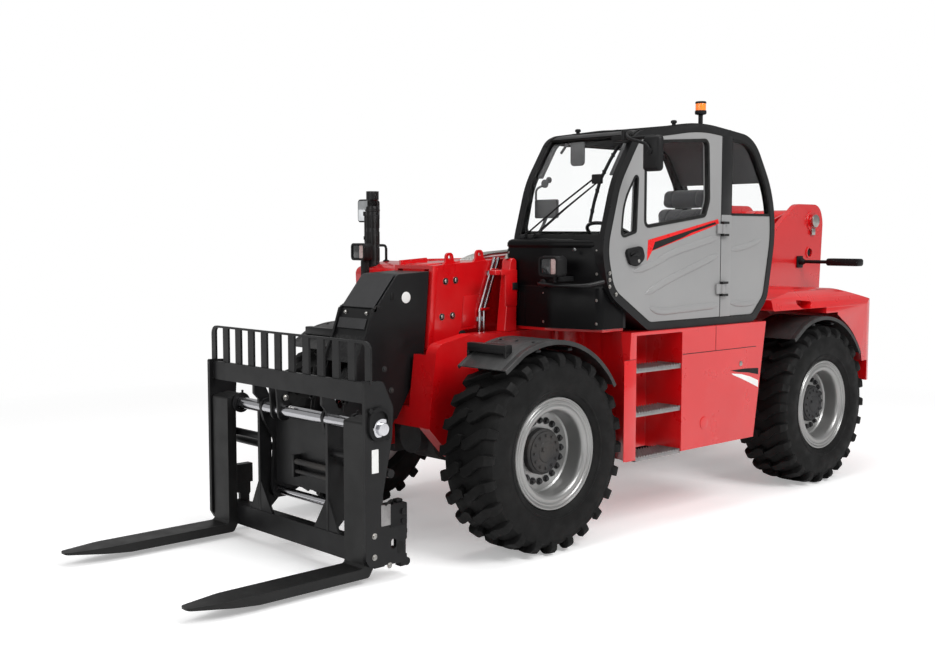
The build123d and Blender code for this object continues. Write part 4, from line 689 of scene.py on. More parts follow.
def mudguard_fixings(front, side):
    """What holds the fender: bracket from the kingpin's arm, two cross bars under the band, U-bolts
    on the flap, and carriage bolt heads on the crown."""
    x, cx, y, top = front * AXLE_X, front * AXLE_X + FENDER_SHIFT, side * WHEEL_Y, FENDER_TOP
    out = [box(x - 0.045, x + 0.045, y - side * 0.278, y - side * 0.164, top - 0.04, top - 0.009)]
    for dx in (-0.17, 0.13):
        low = top - 0.03 - abs(dx) * 0.18
        out.append(box(cx + dx - 0.02, cx + dx + 0.02, y - side * 0.2, y + side * 0.2, low - 0.02, low - 0.002))
        out.append(bolts([(cx + dx, y + dy, top - 0.001 - dx * dx * 0.69) for dy in (-0.15, 0.0, 0.15)],
                         0.008, 0.007, "z"))
    foot = top - 0.098
    out += [tube([(cx + 0.24, y + dy, foot - 0.03), (cx + 0.255, y + dy, foot + 0.028),
                  (cx + 0.31, y + dy, foot + 0.006), (cx + 0.3, y + dy, foot - 0.05)], 0.006, 0.02, 8)
            for dy in (-0.055, 0.045)]
    if front > 0:
        # raised cross bar with a leg at each end, over the flap
        low, high = top - 0.078, top - 0.02
        y0, y1 = sorted((y - side * 0.235, y + side * 0.13))
        out.append(box(cx + 0.3, cx + 0.36, y0, y1, low, high, 0.006))
        out += [box(cx + 0.3, cx + 0.36, end, end + 0.022, low - 0.055, low + 0.01)
                for end in (y0, y1 - 0.022)]
    return join(*out)


def wheels():
    for name, front, side in CORNERS:
        x, wheel, steer = front * AXLE_X, "wheel_" + name, "knuckle_" + name + "_body"
        piece("tyre_with_lugs_" + name, "tyre", tyre(x, side), body=wheel, replaces="tyre_" + name, crease=30)
        piece("wheel_rim_" + name, "rim", rim(x, side), body=wheel, replaces="rim_" + name, crease=30)
        piece("wheel_hub_" + name, "cast", hub(x, side), body=wheel, crease=30)
        piece("mudguard_" + name, "fender", mudguard(front, side), body=steer, replaces="fender_" + name)
        piece("mudguard_fixings_" + name, "black", mudguard_fixings(front, side), body=steer)
        eased("knuckle_" + name, steer, "cast")


# ------------------------------------------------------------ cab
CAB_IN, CAB_OUT = 0.312, 1.165
CAB_BASE, NOSE_FRONT, NOSE_TOP, WINDOW_LINE, DOOR_REAR = 1.43, 1.28, 2.065, 2.255, -0.15
# side outline as (x, z, corner radius) from the floor's front corner up and over to the rear
CAB_SIDE = ((0.7, CAB_BASE, 0.15), (1.13, 1.695, 0.25), (1.212, 2.01, 0.45), (1.075, 2.48, 0.7),
        (0.85, 2.82, 0.18), (0.1, 2.926, 1.8), (-0.57, 2.855, 0.33), (-0.87, 2.4, 0.8), (-0.88, 2.06, 0.8),
        (-0.79, 1.6, 0.2), (-0.61, CAB_BASE, 0.13))
DOOR_WINDOW = ((0.752, 2.16, 0.04), (0.052, 2.245, 0.04), (0.005, 2.36, 0.15), (0.025, 2.8, 0.045),
        (0.68, 2.755, 0.06), (0.752, 2.7, 0.06))
QUARTER_WINDOW = ((1.01, 2.085, 0.03), (0.85, 2.125, 0.02), (0.83, 2.56, 0.02), (0.985, 2.33, 0.4))
RIGHT_WINDOW = ((1.095, 2.12, 0.04), (-0.76, 2.12, 0.06), (-0.7, 2.5, 0.2), (-0.52, 2.78, 0.12),
        (0.81, 2.78, 0.12), (1.015, 2.44, 0.5))
CAB_LINE = rounded(CAB_SIDE, 8)


def roof_z(x):
    """Height of the roof's outline at a place along X."""
    roof = CAB_LINE[CAB_LINE[:, 1] > 2.7]
    order = np.argsort(roof[:, 0])
    return np.interp(x, roof[order, 0], roof[order, 1])


def front_x(z, by=0.0):
    """Place along X of the cab's front at height z, on its side outline moved in by a distance."""
    line = inset(CAB_LINE, by)
    front = line[line[:, 0] > 0.8]
    order = np.argsort(front[:, 1])
    return np.interp(z, front[order, 1], front[order, 0])


def end_frame(z0, z1, by, front=True, count=16):
    """Stretch of the cab's side outline, moved in by a distance, at its front or rear end."""
    line = inset(CAB_LINE, by)
    part = line[line[:, 0] > 0.8 if front else line[:, 0] < -0.5]
    order = np.argsort(part[:, 1])
    z = np.linspace(z0, z1, count)
    return np.stack([np.interp(z, part[order, 1], part[order, 0]), z], 1)


def window_gasket(z0, z1, y0, y1, front):
    """Rubber profile round an end window: up one side of the curved frame, across, down and back."""
    edge = end_frame(z0, z1, 0.012, front)
    up = np.stack([edge[:, 0], np.full(len(edge), y0), edge[:, 1]], 1)
    down = up[::-1] * [1, 0, 1] + [0, y1, 0]
    path, _ = even(np.concatenate([up, down, up[:1]]), 121)
    path = path[:-1]
    ahead = unit(np.roll(path, -1, 0) - np.roll(path, 1, 0))
    slope = np.gradient(edge[:, 0], edge[:, 1])
    lean = np.interp(path[:, 2], edge[:, 1], slope)
    normal = unit(np.stack([np.ones(len(path)), np.zeros(len(path)), -lean], 1) * (1 if front else -1))
    across = np.cross(normal, ahead)
    # profile rows: along the pane's normal, and across the profile
    profile = np.array([(-0.01, -0.013), (0.004, -0.013), (0.008, -0.006), (0.008, 0.006), (0.004, 0.013),
            (-0.01, 0.013)])
    return carried(path, normal, across, profile, True)


def cab_shell():
    """Rounded hoop and rear quarter, the window seals and the cover strips of the door pillar."""
    eased("cab_frame", "chassis", "hoop", 0.018, 3)
    eased("cab_rear_quarter", "chassis", "grey")
    rear = inset(CAB_LINE, 0.062)
    edge = DOOR_REAR - 0.133
    rear = rear[(rear[:, 0] < edge - 0.002) & (rear[:, 1] > WINDOW_LINE + 0.01)]
    side = np.concatenate([rear, [[rear[-1, 0], WINDOW_LINE + 0.005], [edge, WINDOW_LINE + 0.005],
                                  [edge, rear[0, 1]]]])
    # the roof hatch's gasket, laid on the roof's slope
    hatch = rounded(rect(0.105, CAB_IN + 0.075, 0.655, CAB_OUT - 0.075, 0.04))
    gasket, faces = ring_strip(hatch, 0.016, -0.02, 0.008, "xy")
    gasket[:, 2] += roof_z(gasket[:, 0])
    piece("cab_window_seals", "seal", ring_strip(inset(CAB_LINE, 0.058), 0.0035, CAB_OUT - 0.014, CAB_OUT + 0.001),
          window_gasket(NOSE_TOP + 0.03, 2.796, CAB_IN + 0.04, CAB_OUT - 0.04, True),
          window_gasket(1.99, 2.65, CAB_IN + 0.052, CAB_OUT - 0.052, False),
          ring_strip(rounded(RIGHT_WINDOW), 0.012, CAB_IN - 0.005, CAB_IN + 0.012),
          ring_strip(side, 0.009, CAB_OUT - 0.024, CAB_OUT - 0.002), (gasket, faces))
    # the pillar behind the door: body colour up to the window line, black cover strip above it
    x0, x1 = DOOR_REAR - 0.134, DOOR_REAR - 0.007
    piece("pillar_cover_lower", "grey", box(x0, x1, CAB_OUT - 0.008, CAB_OUT + 0.0025, 1.49, WINDOW_LINE, 0.002))
    piece("pillar_cover_upper", "black",
          box(x0 + 0.003, x1, CAB_OUT - 0.006, CAB_OUT + 0.002, WINDOW_LINE + 0.004, 2.842, 0.003))


def cab_nose():
    """Gloss skin of the closed front: the plan outline carried up in rings, drawn out or in so that
    it has a foot, a crease under the lamp, a lip below the windscreen and a rounded top."""
    plan = rounded([(0.9, CAB_IN, 0.01), (NOSE_FRONT, CAB_IN, 0.06), (NOSE_FRONT, 0.76, 0.2),
                    (1.175, 1.12, 0.06), (0.9, 1.12, 0.01)], 8)
    # rows: height, distance out from the plan outline
    rows = ((1.459, -0.004), (1.462, 0.003), (1.56, 0.006), (1.728, 0.008), (1.742, 0.0), (1.752, 0.0),
            (1.768, 0.009), (1.9, 0.01), (2.0, 0.008), (2.01, 0.002), (2.018, 0.002), (2.026, 0.01),
            (2.05, 0.008), (2.066, -0.004), (2.074, -0.024), (2.078, -0.06))
    rings = np.stack([stand(inset(plan, -out), z, "xy") for z, out in rows])
    rings[..., 0] = np.maximum(rings[..., 0], 0.93)
    # panel bead and vertical seam, then the bolts that hold the skin
    bead = ridge([(NOSE_FRONT + 0.008, 0.4, 1.5), (NOSE_FRONT + 0.008, 0.46, 1.6),
                  (NOSE_FRONT + 0.009, 0.47, 1.71)], 0.012, 0.004, 0.05)
    seam = box(NOSE_FRONT - 0.01, NOSE_FRONT + 0.009, 0.5185, 0.5215, 1.47, 1.735, 0.001)
    piece("cab_nose_skin", "gloss_black", grid(rings), bead, seam, crease=50)
    front = [(NOSE_FRONT + 0.006, y, z)
             for y, z in ((0.36, 1.5), (0.7, 1.5), (0.36, 1.7), (0.7, 1.7), (0.36, 1.98))]
    side = [(1.19, 1.105, z) for z in (1.5, 1.66, 1.84, 2.0)]
    piece("cab_nose_bolts", "steel", bolts(front, 0.006, 0.006, "x"), bolts(side, 0.007, 0.007, "x"))


def door_trim():
    """Door: window seals, the handle in its boss, pressed lines, the wedge stripe and hinge covers."""
    def pressed(name, depth, width, height, *lines, **more):
        piece(name, "grey", *(ridge([(x, depth, z) for x, z in line], width, height) for line in lines), **more)

    y = CAB_OUT
    eased("door_panel", "door", "grey")
    piece("door_window_seals", "seal", ring_strip(rounded(DOOR_WINDOW), 0.011, y - 0.03, y + 0.004),
          ring_strip(rounded(QUARTER_WINDOW), 0.008, y - 0.03, y + 0.003), body="door")
    pressed("door_pressed_lines", y, 0.052, 0.011, ((0.745, 1.69), (0.461, 1.79), (-0.12, 1.955)),
            ((0.7, 1.6), (0.594, 1.556), (-0.131, 1.579)),
            ((0.88, 1.85), (0.669, 1.893), (0.442, 1.976), (-0.116, 2.089)), body="door")
    pressed("quarter_pressed_lines", y - 0.006, 0.044, 0.01, ((-0.285, 1.992), (-0.48, 2.012), (-0.7, 2.07)),
            ((-0.285, 1.59), (-0.48, 1.57), (-0.64, 1.58)))
    red = np.array([(0.726, 1.922), (0.717, 2.069), (-0.112, 2.223), (-0.126, 2.186), (0.671, 1.992)])
    wedge = np.array([(0.639, 2.055), (-0.075, 2.201), (-0.088, 2.186), (0.22, 2.119), (0.303, 2.09),
                      (0.671, 1.995)])
    piece("door_stripe_red", "red_film", prism(red, y + 0.0002, y + 0.0012), body="door")
    piece("door_stripe_black", "seal", prism(wedge, y + 0.0008, y + 0.002), body="door")
    cup = panel([(0.985, 2.005, 0.03), (0.8, 2.03, 0.04), (0.768, 1.94, 0.04), (0.85, 1.885, 0.05),
                 (0.93, 1.9, 0.04)], y - 0.004, y + 0.026, bevel=0.01)
    lever = panel([(0.955, 1.985, 0.02), (0.845, 2.0, 0.02), (0.835, 1.962, 0.015), (0.94, 1.955, 0.015)],
                  y + 0.024, y + 0.036, bevel=0.005)
    piece("door_handle", "plastic", cup, lever, body="door")
    piece("door_lock", "steel", rod((0.845, y + 0.026, 1.925), 0.012, 0.008),
          rod((0.845, y + 0.03, 1.925), 0.004, 0.004), body="door")
    covers = [box(DOOR_REAR - 0.004, DOOR_REAR + 0.062, y - 0.001, y + 0.021, z - 0.037, z + 0.037, 0.005)
              for z in (1.7, 2.15)]
    pillar = [box(DOOR_REAR - 0.07, DOOR_REAR - 0.012, y, y + 0.03, z + low, z + low + 0.02)
              for z in (1.7, 2.15) for low in (-0.056, 0.036)]
    piece("door_hinge_leaves", "grey", *covers, body="door")
    piece("door_hinge_brackets", "grey", *pillar)


def wiper():
    """Pantograph wiper: motor boss, two parallel arms, the head that joins them and the long blade
    with its spine, claws and rubber, all lying along the curved windscreen."""
    def at(y, z, lift=0.0):
        return front_x(z, 0.016) + lift, y, z

    arms = [tube([at(0.415, 2.09, 0.03), at(0.7, 2.3, 0.035), at(0.986, 2.505, 0.03)], 0.0065, sides=8),
            tube([at(0.5, 2.085, 0.03), at(0.76, 2.28, 0.035), at(1.02, 2.47, 0.03)], 0.0055, sides=8),
            box(front_x(2.48) - 0.005, front_x(2.48) + 0.028, 0.965, 1.045, 2.455, 2.52, 0.006)]
    arms += [lathe([(0.024, 0), (0.024, 0.05), (0.014, 0.062), (0.006, 0.064)],
                   (front_x(2.085) - 0.02, y, 2.085), "x", 20) for y in (0.415, 0.5)]
    spine = np.array([at(1.012, 2.19, 0.02), at(1.02, 2.33, 0.028), at(1.028, 2.48, 0.03),
                      at(1.04, 2.62, 0.026), at(1.049, 2.719, 0.016)])
    path, _ = even(spine, 30)
    rubber_path = path - [0.012, 0, 0]
    arms += [sweep(path, np.array([(-0.007, 0), (0.007, 0), (0.004, 0.007), (-0.004, 0.007)])),
             sweep(rubber_path, np.array([(-0.0025, -0.008), (0.0025, -0.008), (0.0045, 0.01), (-0.0045, 0.01)]))]
    arms += [box(x - 0.016, x + 0.006, y - 0.01, y + 0.01, z - 0.014, z + 0.014, 0.003)
             for x, y, z in path[[4, 11, 18, 25]]]
    hose = tube([at(0.52, 2.075, 0.03), at(0.6, 2.13, 0.05), at(0.8, 2.29, 0.05), at(1.0, 2.44, 0.045)],
                0.004, 0.04, 8)
    piece("windscreen_wiper", "plastic", *arms, hose)


def head_lamp():
    """Left work lamp, rounder above than below, on its bracket with its cable; the small position
    lamp; then the grab bar and the silver bolts of its feet."""
    def face(by, low_r, high_r):
        return [(y0 + by, z0 + by, low_r), (y1 - by, z0 + by, low_r), (y1 - by, z1 - by, high_r),
                (y0 + by, z1 - by, high_r)]

    x0, y0, z0, x1, y1, z1 = 1.372, 0.826, 1.822, 1.474, 1.004, 1.963
    rim = ring_strip(inset(rounded(face(0.004, 0.028, 0.03)), 0.006), 0.007, x1 - 0.02, x1, "yz")
    piece("work_lamp_left_housing", "plastic", panel(face(0, 0.03, 0.035), x0, x1 - 0.012, "yz", 0.012), rim,
          box(1.18, 1.39, 0.892, 0.938, 1.788, 1.822), rod((1.4, 0.915, 1.812), 0.014, 0.06, "z"),
          box(1.385, 1.415, 0.87, 0.96, 1.795, 1.8, 0.002),
          tube([(1.38, 0.88, 1.86), (1.34, 0.87, 1.84), (1.31, 0.87, 1.9), (1.275, 0.87, 1.93)], 0.007, 0.03),
          replaces="work_lamps")
    lamp_halves("left", x1, y0, 0.935, y1, z0, z1, 0.018, 0.004, 0.004, 0.004)
    marker = lathe([(0.014, 0), (0.014, 0.01), (0.01, 0.016), (0.003, 0.018)], (1.276, 0.985, 2.003), "x", 20)
    piece("position_lamp_left", "dark_lens", marker)
    bar = tube([(1.29, 0.7, 1.768), (1.372, 0.72, 1.768), (1.392, 0.9, 1.762), (1.33, 1.12, 1.762),
                (1.19, 1.168, 1.79)], 0.014)
    foot = lathe([(0.03, 0), (0.03, 0.01), (0.016, 0.014)], (1.285, 0.7, 1.768), "x", 20)
    piece("grab_bar", "hoop", bar, foot, slot="black_plastic")
    studs = [(1.13, 1.168, z) for z in (1.755, 1.8, 1.845)] + [(1.06, 1.168, 1.7)]
    piece("grab_bar_bolts", "steel", bolts(studs, 0.009, 0.01))


def lamp_halves(side, x1, y0, mid, y1, z0, z1, edge, gap, bevel, sunk):
    """A work lamp's dark reflector half and its pale lens half, within edge of its outline."""
    piece("work_lamp_%s_reflector" % side, "dark_lens",
          box(x1 - edge, x1 - edge + 0.01, y0 + edge, mid - gap, z0 + edge, z1 - edge, bevel))
    piece("work_lamp_%s_lens" % side, "pink_lens",
          box(x1 - edge, x1 - sunk, mid + 0.002, y1 - edge, z0 + edge, z1 - edge, 0.005))


def mirror(side, outline, rows, glass, *arms, **more):
    """Mirror: a shell from rows of place along X and distance in from the outline, its arms, and
    its glass from the distance in and two depths."""
    shell = grid(np.stack([stand(inset(outline, by), x, "yz") for x, by in rows]))
    piece("mirror_%s_housing" % side, "plastic", shell, *arms, **more)
    piece("mirror_%s_glass" % side, "mirror", prism(inset(outline, glass[0]), *glass[1:], "yz", 0.001))


def left_mirror():
    """Door mirror on the ball and the bent arm from the bracket at the roof's front corner."""
    reach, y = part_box("mirrors")[1][1], CAB_OUT
    x0, x1 = 1.01, 1.062
    arm = tube([(0.88, y - 0.045, 2.748), (0.93, y + 0.03, 2.8), (1.03, y + 0.05, 2.795), (1.072, y + 0.1, 2.75),
                (1.085, reach - 0.075, 2.7), (1.068, reach - 0.075, 2.655)], 0.011, 0.04)
    bracket = [box(0.8, 1.049, y - 0.062, y - 0.022, 2.734, 2.768, 0.006),
               box(0.99, 1.052, y - 0.062, y + 0.045, 2.742, 2.772, 0.006),
               rod((1.035, y + 0.04, 2.775), 0.02, 0.075, "z"), rod((1.06, reach - 0.075, 2.655), 0.022, 0.03, "x"),
               tube([(1.035, y + 0.02, 2.752), (1.035, reach - 0.05, 2.752)], 0.012)]
    mirror("left", rounded(rect(reach - 0.148, 2.525, reach, 2.762, 0.028)),
           ((x0 + 0.001, 0.004), (x0 + 0.004, 0.0), (x0 + 0.022, 0.0), (x0 + 0.038, 0.006), (x1 - 0.006, 0.014),
            (x1, 0.024)), (0.01, x0 - 0.0015, x0 + 0.003), arm, *bracket, replaces="mirrors")


def roof_trim():
    """Roof: the screws of the hatch, the rounded gutter strips along both long edges and the beacon."""
    line = CAB_LINE[CAB_LINE[:, 1] > 2.6]
    gutters = [strap(line[::-1], 0.006, y - 0.012, y + 0.012) for y in (CAB_IN + 0.035, CAB_OUT - 0.035)]
    knobs = [lathe([(0.014, -0.01), (0.014, 0.014), (0.022, 0.018), (0.022, 0.032), (0.014, 0.038)],
                   (x, y, roof_z(x)), "z", 20) for x, y in ((0.56, CAB_IN + 0.05), (0.362, CAB_OUT - 0.06))]
    piece("roof_gutters", "plastic", *gutters, *knobs)
    foot, top = (-0.02, 1.06, 0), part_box("beacon")[1][2]
    stem = lathe([(0.034, 2.868), (0.034, 2.878), (0.017, 2.884), (0.017, 2.992), (0.04, 2.998),
                  (0.043, 3.004), (0.043, 3.022), (0.039, 3.026)], foot, "z", 32)
    cap = lathe([(0.039, top - 0.014), (0.041, top - 0.012), (0.041, top - 0.004), (0.036, top + 0.002),
                 (0.012, top + 0.004)], foot, "z", 32)
    dome = lathe([(0.0375, 3.024), (0.0385, 3.03), (0.0385, top - 0.02), (0.037, top - 0.012)], foot, "z")
    piece("beacon_base", "plastic", stem, cap)
    piece("beacon_dome", "amber", dome, replaces="beacon")


# ------------------------------------------------------------ inside the cab
SEAT_X, SEAT_Y, FLOOR = -0.06, 0.73, CAB_BASE + 0.055


def cab_lining():
    """Grey lining under the roof and down the rear, the floor mat and the dash under the windscreen."""
    near, far = CAB_IN + 0.05, CAB_OUT - 0.06
    line = inset(CAB_LINE, 0.058)
    roof = line[line[:, 1] > 2.5][::-1]
    behind = roof[roof[:, 0] < 0.11]
    ceiling = [strap(roof, 0.01, CAB_IN + 0.044, CAB_IN + 0.095), strap(roof, 0.01, CAB_OUT - 0.125, CAB_OUT - 0.058),
               strap(behind, 0.012, CAB_IN + 0.095, CAB_OUT - 0.125)]
    rear_shelf = panel([(-0.79, 1.62, 0.02), (-0.6, 1.62, 0.02), (-0.62, 1.96, 0.05), (-0.81, 1.98, 0.02)], near, far)
    piece("cab_lining", "trim_grey", box(-0.58, 0.72, near, far, FLOOR, FLOOR + 0.014), rear_shelf, *ceiling)
    dash = panel([(1.135, 1.62, 0.03), (1.15, 2.055, 0.03), (0.985, 2.105, 0.04), (0.9, 2.05, 0.04),
                  (0.93, 1.62, 0.05)], near, far, bevel=0.008)
    side = panel([(0.62, FLOOR, 0.02), (0.62, 1.98, 0.06), (-0.3, 1.86, 0.06), (-0.42, FLOOR, 0.02)],
                 near, CAB_IN + 0.17, bevel=0.008)
    piece("dashboard", "plastic", dash, side)


def controls():
    """Steering column, wheel with its spokes and knob, joystick, monitor on its arm, inner mirror,
    sun visor and fire-red buttons on the side console."""
    column = panel([(0.9, FLOOR, 0.02), (0.76, FLOOR, 0.02), (0.615, 1.995, 0.04), (0.69, 2.07, 0.04),
                    (0.93, 1.95, 0.05)], SEAT_Y - 0.085, SEAT_Y + 0.085, bevel=0.012)
    hub = turned(lathe([(0.05, -0.02), (0.052, 0.0), (0.04, 0.018), (0.014, 0.022)], axis="z", sides=32), 28)
    rim = sweep(stand(0.183 * circle(64), 0, "xy"), 0.0135 * circle(12), closed=True)
    spokes = [tube([(0, 0, -0.005), (0.16 * cos(t), 0.16 * sin(t), 0.0), (0.18 * cos(t), 0.18 * sin(t), 0)],
                   0.01, 0.03, 8) for t in (0.5, 2.64, 4.71)]
    wheel = turned(join(rim, *spokes, rod((0.15, 0.09, 0.03), 0.018, 0.05, "z", 0.006)), -28)
    piece("steering_wheel", "plastic", moved(join(wheel, hub), (0.6, SEAT_Y, 2.105)),
          replaces="steering_console")
    stalks = [tube([(0.66, SEAT_Y + side * 0.05, 2.05), (0.64, SEAT_Y + side * 0.2, top - 0.01),
                    (0.62, SEAT_Y + side * 0.26, top)], 0.006, 0.03, 8) for side, top in ((1, 2.1), (-1, 2.09))]
    piece("steering_column", "plastic", column, *stalks)
    stick = join(tube([(0.3, 0.46, 1.9), (0.31, 0.46, 1.99), (0.33, 0.46, 2.04)], 0.013, 0.03),
                 rod((0.335, 0.46, 2.07), 0.024, 0.09, "z", 0.01),
                 lathe([(0.05, 0), (0.045, 0.03), (0.02, 0.045)], (0.3, 0.46, 1.885), "z", 24))
    monitor = join(panel(rect(0.355, 2.225, 0.565, 2.36, 0.012), 0.985, 1.018, "yz"),
                   tube([(1.0, 0.46, 2.24), (1.03, 0.44, 2.15), (1.08, 0.42, 2.07)], 0.012, 0.04),
                   tube([(1.02, 0.37, 2.36), (1.02, 0.37, 2.44), (0.98, 0.43, 2.47)], 0.008, 0.03),
                   rod((0.99, 0.43, 2.475), 0.03, 0.02, "x"), rod((0.99, 0.47, 2.5), 0.022, 0.02, "x"))
    visor = join(panel([(0.56, 2.6, 0.03), (0.69, 2.6, 0.03), (0.69, 2.77, 0.02), (0.56, 2.77, 0.02)],
                       0.845, 0.862, "yz", 0.005), tube([(0.86, 0.5, 2.74), (0.86, 0.56, 2.76)], 0.007),
                 tube([(0.85, 0.46, 2.7), (0.86, 0.51, 2.74), (0.86, 0.52, 2.765)], 0.01, 0.02))
    piece("cab_fittings", "trim_grey", stick, monitor, visor)
    piece("monitor_face", "screen", box(0.983, 0.986, 0.367, 0.553, 2.24, 2.345, 0.0012))
    knobs = [rod((x, 0.425, 1.905 + 0.13 * (x - 0.1)), 0.012, 0.03, "z") for x in (-0.1, 0.0, 0.1, 0.2)]
    piece("console_buttons", "red_film", *knobs)


def settled(obj):
    """Puts the mesh that the modifiers leave in place of the one the object had, and drops them."""
    graph = bpy.context.evaluated_depsgraph_get()
    mesh = bpy.data.meshes.new_from_object(obj.evaluated_get(graph), depsgraph=graph)
    obj.modifiers.clear()
    obj.data = mesh


def coordinates(mesh):
    """The places of a mesh's points."""
    flat = np.empty(len(mesh.vertices) * 3, np.float32)
    mesh.vertices.foreach_get("co", flat)
    return flat.reshape(-1, 3)


def fill_pad(pad, swell, channels):
    """Blows a pad up as cloth: an even fine mesh under inner pressure, no point moving further than
    swell; then sewn channels along X are pressed in as bell curves across Y, and it is smoothed."""
    fine = pad.modifiers.new("even_mesh", "REMESH")
    fine.mode, fine.voxel_size = "VOXEL", 0.006
    settled(pad)
    start = coordinates(pad.data)
    sheet = pad.modifiers.new("stuffing", "CLOTH")
    sheet.settings.use_pressure, sheet.settings.uniform_pressure_force = True, 4.0
    sheet.settings.effector_weights.gravity = 0.0
    scene = bpy.context.scene
    for step in range(1, 21):
        scene.frame_set(step)
    graph = bpy.context.evaluated_depsgraph_get()
    move = coordinates(pad.evaluated_get(graph).data) - start
    pad.modifiers.clear()
    scene.frame_set(1)
    far = np.linalg.norm(move, axis=1, keepdims=True)
    start = start + move * np.minimum(1, swell / np.maximum(far, 1e-09))
    pad.data.vertices.foreach_set("co", start.astype(np.float32).ravel())
    soft = pad.modifiers.new("even_skin", "SUBSURF")
    soft.levels = soft.render_levels = 1
    settled(pad)
    place = coordinates(pad.data)
    normal = np.empty(len(place) * 3, np.float32)
    pad.data.vertices.foreach_get("normal", normal)
    normal = normal.reshape(-1, 3)
    for at in channels:
        place = place - normal * (0.007 * np.exp(-((place[:, 1] - at) / 0.007) ** 2))[:, None]
    pad.data.vertices.foreach_set("co", place.astype(np.float32).ravel())
    pad.data.update()


def seat():
    """Driver's seat: bellows and rails, shell, padded cushion, back and head pads, armrests, belt."""
    x, y = SEAT_X, SEAT_Y
    base = [box(x - 0.2, x + 0.22, y - 0.19, y + 0.19, FLOOR + z, FLOOR + z + 0.04, 0.01)
            for z in (0.03, 0.085, 0.14, 0.195, 0.25)]
    base += [box(x - 0.22, x + 0.24, y - 0.21, y + 0.21, FLOOR, FLOOR + 0.035, 0.006),
             box(x - 0.22, x + 0.24, y - 0.22, y + 0.22, FLOOR + 0.29, FLOOR + 0.325, 0.008),
             panel([(x - 0.3, 1.9, 0.03), (x - 0.235, 1.85, 0.03), (x - 0.32, 2.3, 0.05),
                    (x - 0.36, 2.28, 0.03)], y - 0.21, y + 0.21, bevel=0.012)]
    arm = [(x - 0.22, 2.045, 0.02), (x + 0.12, 2.065, 0.025), (x + 0.13, 2.105, 0.02), (x - 0.22, 2.095, 0.02)]
    for at in (y + 0.275, y - 0.275):
        base.append(panel(arm, at - 0.028, at + 0.028, bevel=0.012))
        base.append(tube([(x - 0.25, at, 1.96), (x - 0.22, at, 2.06)], 0.014))
    piece("seat_base", "plastic", *base)
    # rows: name, side outline, half width, how far the stuffing may swell
    pads = (("seat_cushion", [(x - 0.235, 1.805, 0.03), (x + 0.285, 1.815, 0.04), (x + 0.29, 1.9, 0.05),
                              (x - 0.1, 1.925, 0.08), (x - 0.235, 1.905, 0.03)], 0.245, 0.022),
            ("seat_back", [(x - 0.23, 1.89, 0.03), (x - 0.115, 1.9, 0.04), (x - 0.185, 2.31, 0.06),
                           (x - 0.315, 2.32, 0.04)], 0.245, 0.022),
            ("seat_head_pad", [(x - 0.32, 2.325, 0.03), (x - 0.19, 2.315, 0.04), (x - 0.21, 2.455, 0.05),
                               (x - 0.32, 2.45, 0.03)], 0.205, 0.014))
    for name, rows, half, swell in pads:
        pad = piece(name, "cloth", panel(rows, y - half, y + half, bevel=0.03),
                    replaces="operator_seat" if name == "seat_cushion" else None, crease=60)
        fill_pad(pad, swell, [y + k * half for k in (-0.55, 0.55)])
    belt = strap([(x - 0.19, 2.02), (x - 0.12, 1.96), (x + 0.02, 1.955)], 0.003, y - 0.2, y - 0.155)
    piece("seat_belt", "seal", belt, box(x, x + 0.05, y - 0.205, y - 0.15, 1.945, 1.975, 0.005))


# ------------------------------------------------------------ boom and head
PIVOT, SLOPE = (-2.705, 0.0, 2.237), 3.6
BOOM_END, BOOM_TOP, BOOM_HALF, COLLAR_HALF, HEAD_HALF = 4.601, -0.062, 0.19, 0.205, 0.185


def on_boom(shape):
    """A shape laid out along the boom, X from the pivot and Z up from it, turned to the boom's slope."""
    return moved(turned(shape, SLOPE), PIVOT)


